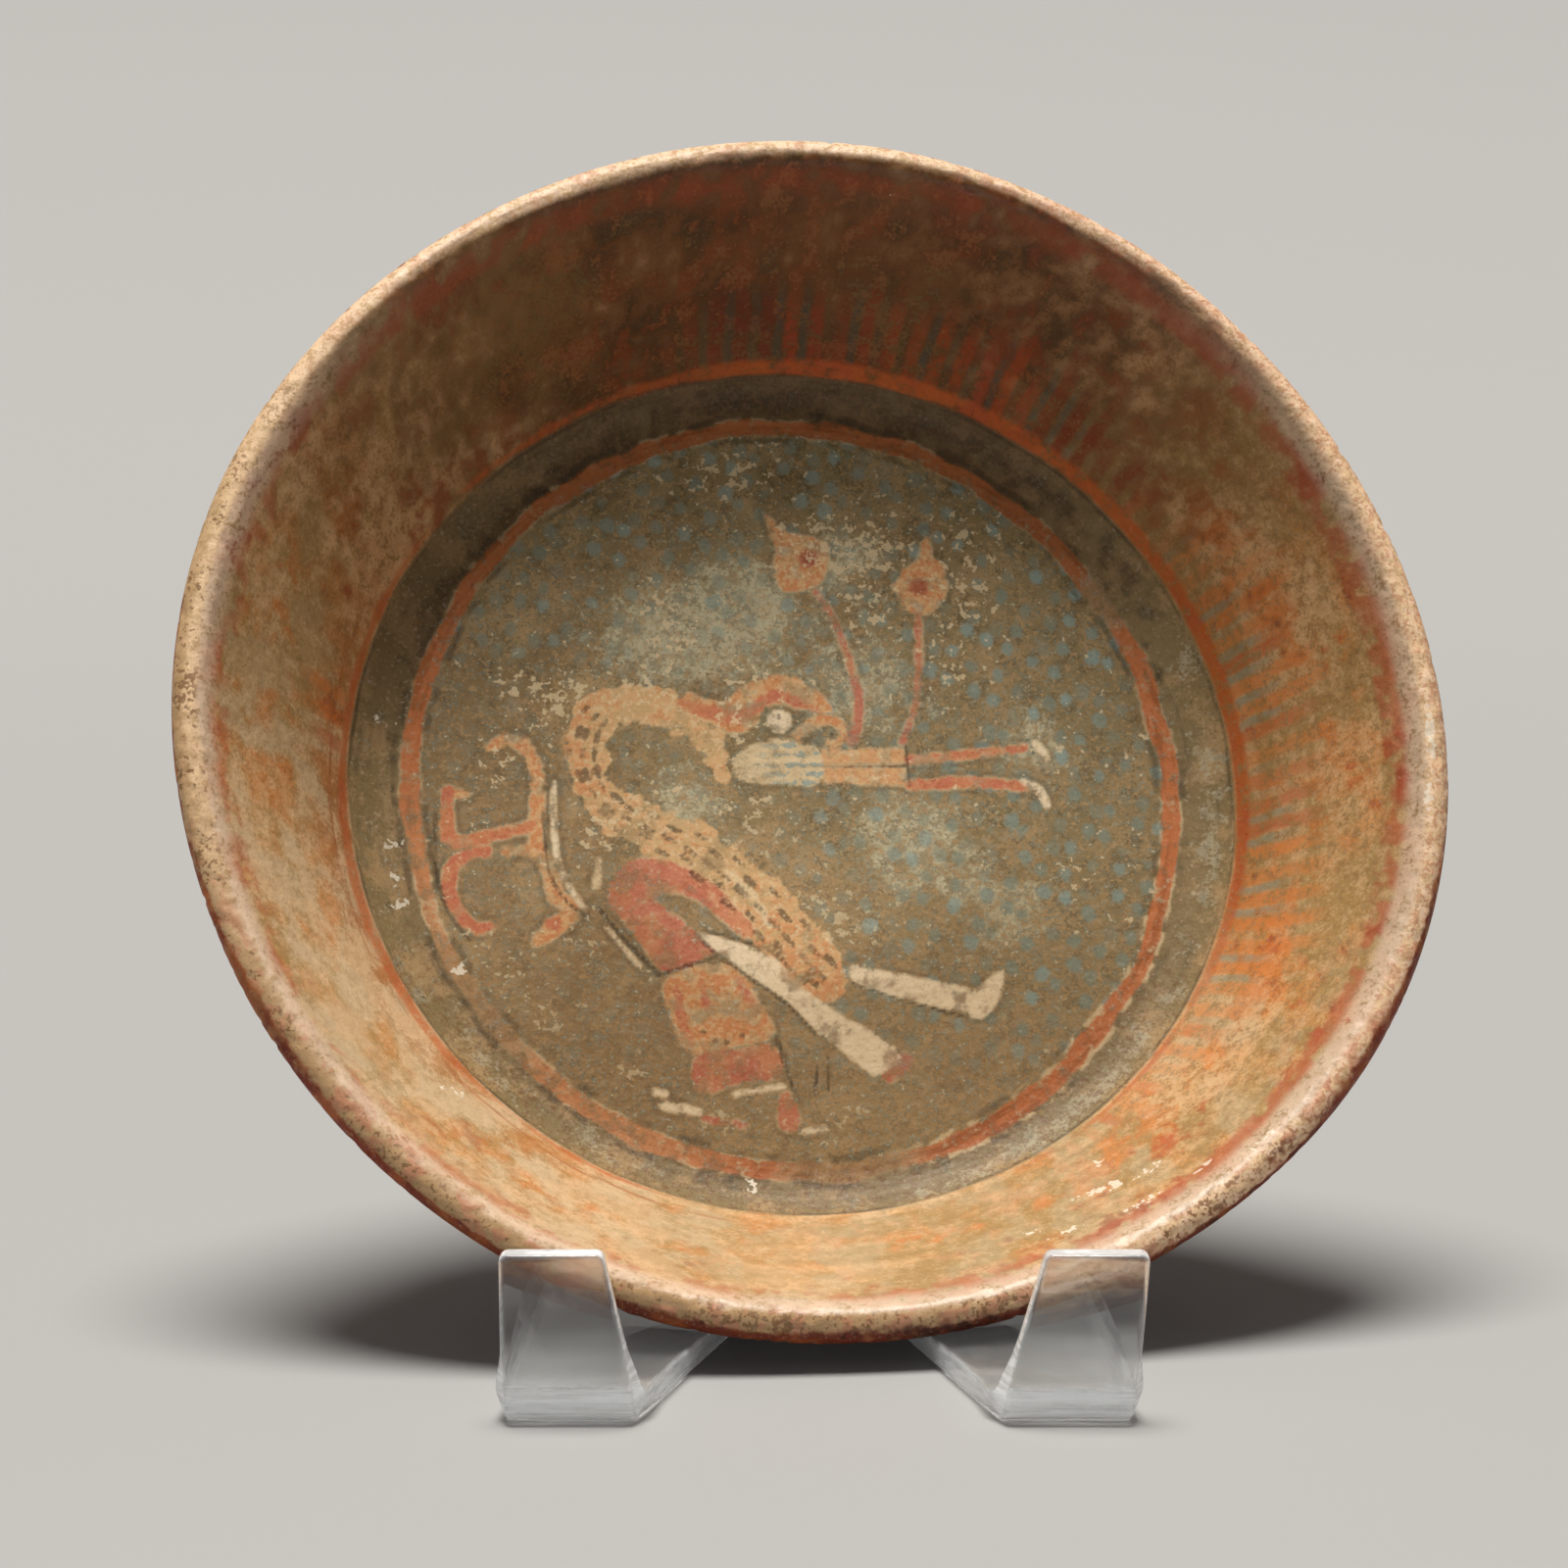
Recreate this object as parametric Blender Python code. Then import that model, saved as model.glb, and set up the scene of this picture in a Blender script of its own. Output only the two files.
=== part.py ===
# A painted pottery bowl that stands on its edge on a clear acrylic easel.
# Metres, +Z up. The bowl opens to the front, -Y, and the viewer's right is +X. The origin is
# on the table, under the middle of the whole object.

import math

import bmesh
import bpy
from mathutils import Euler, Matrix, Vector
from mathutils.bvhtree import BVHTree

# The bowl in its own frame: its axis is Z, and its underside is at z = 0.
FLOOR_RADIUS = 0.0895       # flat floor, out to the painted ring
FLOOR_DISH = 0.0012         # the middle of the floor lies this much lower
BASE_THICKNESS = 0.0085
COVE_WIDTH = 0.0135         # the hollow curve between the floor and the foot of the wall
COVE_RISE = 0.0060
WALL_FLARE = 0.0390         # from the foot of the wall out to the lip's outermost line
WALL_RISE = 0.0420          # and up to it
WALL_THICKNESS = 0.0085
LIP_THICKNESS = 0.0088      # the lip is a full round
HEEL_RADIUS = 0.0300        # outside curve between the underside and the wall

# The pot was turned by hand. Each entry is the number of lobes, how far they reach at the lip,
# and where one of them points, in degrees from the viewer's right.
RIM_LOBES = ((2, 0.0008, -45.0), (3, 0.0005, -25.0), (4, 0.0007, -19.0))

# How the bowl stands on the easel.
BOWL_LEAN = math.radians(27.5)      # its axis looks up by this angle
BOWL_TURN = math.radians(7.0)       # and to the viewer's right by this one
BOWL_ASIDE = 0.0007                 # middle of the lip, right of the arms' middle line
RIM_BEHIND_LIPS = 0.0468            # lowest point of the rim, behind the front of the easel
CONTACT_GAP = 0.0003                # left where the bowl rests on the sheet

# The easel's blank: one flat sheet, measured from the ends of the lips along its middle line.
SHEET_THICKNESS = 0.0060
BLANK_HALF_WIDTH = 0.0658           # at the ends of the lips
BLANK_TAPER = math.radians(2.4)
NOTCH_HALF_WIDTH = 0.0448           # at the ends of the lips
NOTCH_TAPER = math.radians(14.7)
NOTCH_END_RADIUS = 0.0050
LIP_CORNER_RADIUS = 0.0020

# The same sheet, bent. Bend radii are on the inside of the bend.
LIP_HEIGHT = 0.0356
LIPS_ASIDE = 0.0012                 # the front bend is not quite square, so the lips lean right
FRONT_BEND_RADIUS = 0.0010
FOOT_BEND_RADIUS = 0.0120
PLATE_LENGTH = 0.1050               # straight part of the back plate
TOP_BEND_RADIUS = 0.0080
REAR_LEG_LEAN = math.radians(22.0)  # from upright

# How finely the curves are cut.
STEPS_AROUND = 72
FLOOR_STEPS = 3
COVE_STEPS = 4
WALL_STEPS = 4
LIP_STEPS = 7
HEEL_STEPS = 5
CORNER_STEPS = 3
NOTCH_STEPS = 8
BEND_STEP = math.radians(10.0)
PROBE_SPACING = 0.0015              # between the points where the fit is measured


def material(name, color, roughness, transmission=0.0, ior=1.45):
    """A Principled BSDF of one finish."""
    made = bpy.data.materials.new(name)
    made.use_nodes = True
    shader = made.node_tree.nodes["Principled BSDF"]
    shader.inputs["Base Color"].default_value = (*color, 1.0)
    shader.inputs["Roughness"].default_value = roughness
    shader.inputs["Metallic"].default_value = 0.0
    shader.inputs["Transmission Weight"].default_value = transmission
    shader.inputs["IOR"].default_value = ior
    made.diffuse_color = (*color, 1.0 - 0.7 * transmission)
    return made


def add_object(name, mesh_data, surface):
    """An object of that name in the scene, from a bmesh, with one material."""
    mesh = bpy.data.meshes.new(name)
    mesh_data.to_mesh(mesh)
    mesh_data.free()
    mesh.materials.append(surface)
    mesh.shade_smooth()
    mesh.set_sharp_from_angle(angle=math.radians(32.0))
    made = bpy.data.objects.new(name, mesh)
    bpy.context.scene.collection.objects.link(made)
    return made


def arc(centre, radius, start, end, steps):
    """Points on an arc, both ends included. Angles are in radians from the first axis."""
    angles = [start + (end - start) * i / steps for i in range(steps + 1)]
    return [(centre[0] + radius * math.cos(a), centre[1] + radius * math.sin(a)) for a in angles]


def line(start, end, steps):
    """Points on a straight line, both ends included."""
    return [tuple(a + (b - a) * i / steps for a, b in zip(start, end)) for i in range(steps + 1)]


def tangent_angle(point, centre, radius, side):
    """Direction of the line from a point that touches a circle on one side of it."""
    across, up = centre[0] - point[0], centre[1] - point[1]
    return math.atan2(up, across) + side * math.asin(radius / math.hypot(across, up))


def bowl_profile():
    """(radius, height) points from the middle of the floor, over the lip, to the underside."""
    crease = (FLOOR_RADIUS + COVE_WIDTH, BASE_THICKNESS + COVE_RISE)
    lip_radius = LIP_THICKNESS / 2
    lip = (crease[0] + WALL_FLARE - lip_radius, crease[1] + WALL_RISE)

    floor = [(r, BASE_THICKNESS - FLOOR_DISH * (1 - (r / FLOOR_RADIUS) ** 2))
             for r, _ in line((0, 0), (FLOOR_RADIUS, 0), FLOOR_STEPS)]

    sweep = 2 * math.atan2(COVE_RISE, COVE_WIDTH)
    cove_radius = COVE_WIDTH / math.sin(sweep)
    cove = arc((FLOOR_RADIUS, BASE_THICKNESS + cove_radius), cove_radius,
               -math.pi / 2, sweep - math.pi / 2, COVE_STEPS)

    inside = tangent_angle(crease, lip, lip_radius, 1)
    wall_foot = (crease[0] + WALL_THICKNESS * math.sin(inside),
                 crease[1] - WALL_THICKNESS * math.cos(inside))
    outside = tangent_angle(wall_foot, lip, lip_radius, -1)
    rounding = arc(lip, lip_radius, inside + math.pi / 2, outside - math.pi / 2, LIP_STEPS)
    inner_wall = line(crease, rounding[0], WALL_STEPS)

    corner = wall_foot[0] - wall_foot[1] / math.tan(outside)
    flat_radius = corner - HEEL_RADIUS * math.tan(outside / 2)
    heel = arc((flat_radius, HEEL_RADIUS), HEEL_RADIUS, outside - math.pi / 2, -math.pi / 2, HEEL_STEPS)
    outer_wall = line(rounding[-1], heel[0], WALL_STEPS)
    underside = line(heel[-1], (0, 0), FLOOR_STEPS)

    points = floor
    for stretch in (cove, inner_wall, rounding, outer_wall, heel, underside):
        points += stretch[1:]
    return points


def rim_radius():
    return FLOOR_RADIUS + COVE_WIDTH + WALL_FLARE


def rim_height():
    return BASE_THICKNESS + COVE_RISE + WALL_RISE


def out_of_round(vert):
    """Moves a point out or in, as the lobes say: all the way at the lip, not at all on the floor."""
    radius = math.hypot(vert.co.x, vert.co.y)
    share = max(0.0, (radius - FLOOR_RADIUS) / (rim_radius() - FLOOR_RADIUS))
    angle = math.atan2(vert.co.y, vert.co.x)
    reach = sum(size * math.cos(count * (angle - math.radians(points_to)))
                for count, size, points_to in RIM_LOBES)
    if radius > 0:
        vert.co.xy *= 1 + reach * share / radius


def turn_bowl():
    """The bowl as a closed turned body, about its own axis."""
    turned = bmesh.new()
    ring = [turned.verts.new((radius, 0, height)) for radius, height in bowl_profile()]
    edges = [turned.edges.new(pair) for pair in zip(ring, ring[1:])]
    bmesh.ops.spin(turned, geom=ring + edges, cent=(0, 0, 0), axis=(0, 0, 1),
                   angle=2 * math.pi, steps=STEPS_AROUND, use_merge=True)
    bmesh.ops.remove_doubles(turned, verts=turned.verts, dist=1e-6)
    bmesh.ops.recalc_face_normals(turned, faces=turned.faces)
    for vert in turned.verts:
        out_of_round(vert)
    return turned


def bowl_rotation():
    """From the bowl's own frame to the world: it opens to the front, leans back and is turned."""
    return Euler((math.pi / 2 - BOWL_LEAN, 0, BOWL_TURN)).to_matrix()


def blank_half_width(along):
    return BLANK_HALF_WIDTH - along * math.tan(BLANK_TAPER)


def notch_half_width(along):
    return NOTCH_HALF_WIDTH - along * math.tan(NOTCH_TAPER)


def notch_end():
    """Where along the sheet the middle of the notch's round end lies."""
    return (NOTCH_HALF_WIDTH - NOTCH_END_RADIUS / math.cos(NOTCH_TAPER)) / math.tan(NOTCH_TAPER)


def rounded_corner(corner, leaving, arriving, radius):
    """Points of a round corner between two unit directions that both point away from it."""
    half = leaving.angle(arriving) / 2
    centre = corner + (leaving + arriving).normalized() * radius / math.sin(half)
    start, end = [(corner + way * radius / math.tan(half) - centre).normalized()
                  for way in (leaving, arriving)]
    return [centre + radius * start.slerp(end, i / CORNER_STEPS) for i in range(CORNER_STEPS + 1)]


def half_blank(length):
    """Outline of the blank's right half, as (x, along) points."""
    outer_end = Vector((blank_half_width(0), 0))
    inner_end = Vector((notch_half_width(0), 0))
    down_outer = Vector((-math.sin(BLANK_TAPER), math.cos(BLANK_TAPER)))
    down_inner = Vector((-math.sin(NOTCH_TAPER), math.cos(NOTCH_TAPER)))
    outward = Vector((1, 0))
    points = [Vector((0, length)), Vector((blank_half_width(length), length))]
    points += rounded_corner(outer_end, down_outer, -outward, LIP_CORNER_RADIUS)
    points += rounded_corner(inner_end, outward, down_inner, LIP_CORNER_RADIUS)
    points += [Vector(p) for p in arc((0, notch_end()), NOTCH_END_RADIUS, NOTCH_TAPER,
                                      math.pi / 2, NOTCH_STEPS)]
    return points


class SheetPath:
    """The sheet's middle surface seen from the side, from the lips' ends to the rear foot."""

    def __init__(self, arm_length):
        half = SHEET_THICKNESS / 2
        plate_rise = math.pi / 2 - BOWL_LEAN
        leg_fall = math.pi / 2 - REAR_LEG_LEAN
        outer_front = FRONT_BEND_RADIUS + SHEET_THICKNESS
        self.stretches = []         # (start along, length, start point, heading, turn)
        self.point = Vector((half, LIP_HEIGHT))
        self.heading = -math.pi / 2
        self.length = 0.0
        self.lean_aside = LIPS_ASIDE / LIP_HEIGHT
        self.add_run(LIP_HEIGHT - outer_front)
        self.add_bend(FRONT_BEND_RADIUS + half, math.pi / 2)
        self.arms_from = self.length
        self.add_run(arm_length)
        self.arms_to = self.length
        self.add_bend(FOOT_BEND_RADIUS + half, plate_rise)
        self.plate_from = self.length
        self.add_run(PLATE_LENGTH)
        self.plate_to = self.length
        self.add_bend(TOP_BEND_RADIUS + half, -plate_rise - leg_fall)
        self.add_run(self.point.y / math.cos(REAR_LEG_LEAN))

    def add_run(self, length):
        self.stretches.append((self.length, length, self.point.copy(), self.heading, 0.0))
        self.point += length * Vector((math.cos(self.heading), math.sin(self.heading)))
        self.length += length

    def add_bend(self, radius, turn):
        length = radius * abs(turn)
        self.stretches.append((self.length, length, self.point.copy(), self.heading, turn))
        self.length += length
        self.point, self.heading = self.at(self.length)

    def at(self, along):
        """(y, z) point and heading at a length along the sheet."""
        start, length, point, heading, turn = next(
            s for s in reversed(self.stretches) if s[0] <= along or s is self.stretches[0])
        run = along - start
        if turn == 0.0:
            return point + run * Vector((math.cos(heading), math.sin(heading))), heading
        swept = turn * run / length
        radius = length / turn
        ahead = Vector((math.sin(heading + swept) - math.sin(heading),
                        math.cos(heading) - math.cos(heading + swept)))
        return point + radius * ahead, heading + swept

    def place(self, x, along, offset):
        """World place of a point of the blank, offset towards the side that faces the bowl."""
        point, heading = self.at(along)
        y, z = point + offset * Vector((-math.sin(heading), math.cos(heading)))
        aside = max(0.0, self.arms_from - along) * self.lean_aside
        return Vector((x + aside, y, z))

    def bend_cuts(self):
        """Lengths along the sheet where the blank is cut across, so that it can bend."""
        cuts = []
        for start, length, _, _, turn in self.stretches:
            if turn:
                steps = math.ceil(abs(turn) / BEND_STEP)
                cuts += [start + length * i / steps for i in range(steps + 1)]
        return cuts


def seat_height(bowl_tree):
    """How far the bowl moves up, or down if negative, to rest on the arms."""
    path = SheetPath(RIM_BEHIND_LIPS * 2)
    lowest = math.inf
    along = path.arms_from
    while along < path.arms_to:
        x = notch_half_width(along)
        while x < blank_half_width(along):
            for side in (-x, x):
                below = path.place(side, along, 0) - Vector((0, 0, 1))
                hit = bowl_tree.ray_cast(below, Vector((0, 0, 1)))[0]
                if hit:
                    lowest = min(lowest, hit.z)
            x += PROBE_SPACING
        along += PROBE_SPACING
    return SHEET_THICKNESS + CONTACT_GAP - lowest


def arm_length(bowl_tree, behind):
    """Length of the arms that brings the back plate against the bowl's underside."""
    length = behind
    for _ in range(3):
        path = SheetPath(length)
        room = math.inf
        along = path.arms_to
        while along < path.plate_to:
            x = -blank_half_width(along)
            while x < blank_half_width(along):
                face = path.place(x, along, SHEET_THICKNESS / 2)
                hit = bowl_tree.ray_cast(face + Vector((0, 1, 0)), Vector((0, -1, 0)))[0]
                if hit:
                    room = min(room, face.y - hit.y)
                x += PROBE_SPACING
            along += PROBE_SPACING
        length += CONTACT_GAP / math.cos(BOWL_LEAN) - room
    return length


def bend_easel(length_of_arms):
    """The sheet: its blank cut out, sliced where it bends, given its thickness and bent."""
    path = SheetPath(length_of_arms)
    sheet = bmesh.new()
    sheet.faces.new([sheet.verts.new((x, along, 0)) for x, along in half_blank(path.length)])
    for cut in path.bend_cuts():
        bmesh.ops.bisect_plane(sheet, geom=sheet.verts[:] + sheet.edges[:] + sheet.faces[:],
                               dist=1e-6, plane_co=(0, cut, 0), plane_no=(0, 1, 0))
    bmesh.ops.mirror(sheet, geom=sheet.verts[:] + sheet.edges[:] + sheet.faces[:],
                     matrix=Matrix.Identity(4), merge_dist=1e-6, axis="X")
    bmesh.ops.recalc_face_normals(sheet, faces=sheet.faces)
    raised = bmesh.ops.extrude_face_region(sheet, geom=sheet.faces[:], use_keep_orig=True)["geom"]
    upper = {v for v in raised if isinstance(v, bmesh.types.BMVert)}
    for vert in sheet.verts:
        x, along, _ = vert.co
        side = 1 if vert in upper else -1
        vert.co = path.place(x, along, side * SHEET_THICKNESS / 2)
        if along > path.length - 1e-6:
            # the rear foot is cut level with the table
            vert.co += vert.co.z * Vector((0, math.tan(REAR_LEG_LEAN), -1))
    bmesh.ops.recalc_face_normals(sheet, faces=sheet.faces)
    return sheet


def middle_of(objects):
    """Middle of the objects' common box, on the plane of the table."""
    corners = [o.matrix_world @ v.co for o in objects for v in o.data.vertices]
    return Vector(((min(c.x for c in corners) + max(c.x for c in corners)) / 2,
                   (min(c.y for c in corners) + max(c.y for c in corners)) / 2, 0))


def main():
    for old in list(bpy.data.objects):
        bpy.data.objects.remove(old)

    clay = material("fired_clay", (0.40, 0.22, 0.12), 0.55)
    acrylic = material("clear_acrylic", (0.93, 0.97, 0.97), 0.03, transmission=1.0, ior=1.49)

    # the bowl is turned about its axis, then stood on its edge over the arms
    turned = turn_bowl()
    rotation = bowl_rotation()
    lip_middle = rotation @ Vector((0, 0, rim_height()))
    lowest = min((rotation @ v.co for v in turned.verts), key=lambda co: co.z)
    stand = Vector((BOWL_ASIDE - lip_middle.x, RIM_BEHIND_LIPS - lowest.y, -lowest.z))
    stood = turned.copy()
    stood.transform(Matrix.Translation(stand) @ rotation.to_4x4())
    drop = Vector((0, 0, seat_height(BVHTree.FromBMesh(stood))))
    stood.transform(Matrix.Translation(drop))
    farthest = max(v.co.y for v in stood.verts)
    arms = arm_length(BVHTree.FromBMesh(stood), farthest / 2)
    stood.free()

    bowl = add_object("bowl", turned, clay)
    bowl.rotation_euler = rotation.to_euler()
    bowl.location = stand + drop
    easel = add_object("easel", bend_easel(arms), acrylic)
    bpy.context.view_layer.update()
    middle = middle_of((bowl, easel))
    for piece in (bowl, easel):
        piece.location -= middle
    bpy.context.view_layer.update()


main()
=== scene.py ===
import math
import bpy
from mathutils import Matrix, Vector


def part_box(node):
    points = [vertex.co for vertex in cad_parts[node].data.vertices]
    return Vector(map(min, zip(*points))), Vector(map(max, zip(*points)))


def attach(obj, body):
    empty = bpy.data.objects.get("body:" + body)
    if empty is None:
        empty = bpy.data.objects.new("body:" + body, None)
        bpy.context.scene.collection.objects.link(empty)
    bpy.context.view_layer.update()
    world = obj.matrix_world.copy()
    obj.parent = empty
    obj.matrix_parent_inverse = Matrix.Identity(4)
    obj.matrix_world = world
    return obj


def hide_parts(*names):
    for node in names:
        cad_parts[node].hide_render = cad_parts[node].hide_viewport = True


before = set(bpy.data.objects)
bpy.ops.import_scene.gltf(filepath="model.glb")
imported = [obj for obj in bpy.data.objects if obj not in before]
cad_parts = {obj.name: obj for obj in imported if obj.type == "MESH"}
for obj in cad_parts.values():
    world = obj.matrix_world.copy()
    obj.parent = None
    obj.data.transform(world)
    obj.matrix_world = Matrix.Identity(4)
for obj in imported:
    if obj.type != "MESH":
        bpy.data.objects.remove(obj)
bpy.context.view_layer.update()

from types import SimpleNamespace

import bmesh
import bpy
import numpy as np
from mathutils import Euler, Matrix, Vector, noise

# A painted pottery bowl that stands on its edge on a clear easel. The bowl is made in its own
# frame, in millimetres, with the viewer's right as X, up the rim as Y and its axis as Z.
# "along" is the length over its surface from the middle of the floor, over the lip, to the base.


class Wire:
    # A socket in a material. Python's operators on it add Math nodes.

    def __init__(self, tree, socket=None):
        self.tree = tree
        self.socket = socket

    def node(self, kind, settings=None, values=None, out=0):
        made = self.tree.nodes.new(kind)
        for name, value in (settings or {}).items():
            setattr(made, name, value)
        for name, value in (values or {}).items():
            if isinstance(value, Wire):
                self.tree.links.new(value.socket, made.inputs[name])
            else:
                made.inputs[name].default_value = value
        if isinstance(out, tuple):
            return [Wire(self.tree, made.outputs[name]) for name in out]
        return Wire(self.tree, made.outputs[out])

    def math(self, operation, first, second=0.0):
        return self.node("ShaderNodeMath", {"operation": operation}, {0: first, 1: second})

    def __add__(self, other):
        return self.math("ADD", self, other)

    def __sub__(self, other):
        return self.math("SUBTRACT", self, other)

    def __rsub__(self, other):
        return self.math("SUBTRACT", other, self)

    def __mul__(self, other):
        return self.math("MULTIPLY", self, other)

    def __truediv__(self, other):
        return self.math("DIVIDE", self, other)

    def __abs__(self):
        return self.math("ABSOLUTE", self)

    __radd__ = __add__
    __rmul__ = __mul__


def smooth(value, low, high):
    # 0 below low, 1 above high, or the other way round when low is the larger
    if low > high:
        return 1 - smooth(value, high, low)
    return value.node("ShaderNodeMapRange", {"interpolation_type": "SMOOTHSTEP"},
                      {"Value": value, "From Min": low, "From Max": high}, "Result")


def band(value, start, end, soft):
    return smooth(value, start - soft, start + soft) * smooth(value, end + soft, end - soft)


def lesser(first, second):
    return first.math("MINIMUM", first, second)


def greater(first, second):
    return first.math("MAXIMUM", first, second)


def moved(place, stretch, shift=(0, 0, 0)):
    return place.node("ShaderNodeMapping", None, {"Vector": place, "Scale": stretch, "Location": shift})


def grain(place, size, detail=3.0, rough=0.55, shift=(0, 0, 0)):
    # cloudy noise from 0 to 1, with its patches about size mm across
    spread = tuple([1 / size] * 3) if isinstance(size, (int, float)) else tuple(1 / s for s in size)
    return place.node("ShaderNodeTexNoise", None, {
        "Vector": moved(place, spread, shift), "Scale": 1.0, "Detail": detail, "Roughness": rough}, "Fac")


def shade(red, green, blue):
    # a colour in linear light from the 0 to 255 values that a paint chart gives
    def linear(value):
        value /= 255
        return value / 12.92 if value < 0.04045 else ((value + 0.055) / 1.055) ** 2.4
    return linear(red), linear(green), linear(blue), 1.0


def mixed(under, over, share, blend="MIX"):
    # a colour may be given as the name of a paint
    under, over = [paints[color] if isinstance(color, str) else color for color in (under, over)]
    return share.node("ShaderNodeMix", {"data_type": "RGBA", "blend_type": blend, "clamp_factor": True},
                      {0: share, 6: under, 7: over}, 2)


def laid(color, *layers):
    # paints laid over a colour one after another, each given as (paint, share)
    for paint, share in layers:
        color = mixed(color, paint, share)
    return color


def newMaterial(name):
    made = bpy.data.materials.new(name)
    made.use_nodes = True
    tree = made.node_tree
    return made, Wire(tree), tree.nodes["Principled BSDF"]


def connect(shader, name, wire):
    wire.tree.links.new(wire.socket, shader.inputs[name])


def layered(material, bottom, *others):
    # lays shaders over one another, each given as (share, shader)
    top = Wire(material.node_tree, bottom.outputs["BSDF"])
    for share, shader in others:
        top = share.node("ShaderNodeMixShader", None,
                         {0: share, 1: top, 2: Wire(share.tree, shader.outputs["BSDF"])})
    connect(material.node_tree.nodes["Material Output"], "Surface", top)


def addPiece(name, mesh, material, body, slotName, *nodes):
    piece = bpy.data.objects.new(name, mesh)
    bpy.context.scene.collection.objects.link(piece)
    mesh.materials.append(material)
    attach(piece, body)
    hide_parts(*nodes)
    return piece


bowl = {
    "floorRadius": 89.5, "floorDish": 1.2, "baseThickness": 8.5,
    "coveWidth": 13.5, "coveRise": 6.0,
    "wallFlare": 39.0, "wallRise": 42.0, "wallThickness": 8.5,
    "lipThickness": 8.8, "heelRadius": 30.0,
    "lobes": ((2, 0.8, -45.0), (3, 0.5, -25.0), (4, 0.7, -19.0)),
    "lean": 27.5, "turn": 7.0,
    "fit": 0.9988,              # kept this much inside the solid's box
    "cells": 176,               # across the floor's grid
    "ringSteps": {"cove": 8, "crease": 12, "wall": 23, "lip": 18, "outside": 14, "heel": 7, "base": 6},
    "creaseReach": 3.6,         # the finely cut strip on each side of the wall's foot
    "baseHole": 3.0,
    "waviness": 0.45, "wheelMarks": 0.05, "pitDepth": 0.42,
    "wornFrom": (100, 112),     # along the surface, in mm
    "wavinessScale": (3.1, 60), "wheelScale": (1.4, 2.6),       # drum's radius, mm along the surface
    "pitSize": 1.5, "pitPatch": 9, "pitRange": (0.18, 0.5),
}

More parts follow.
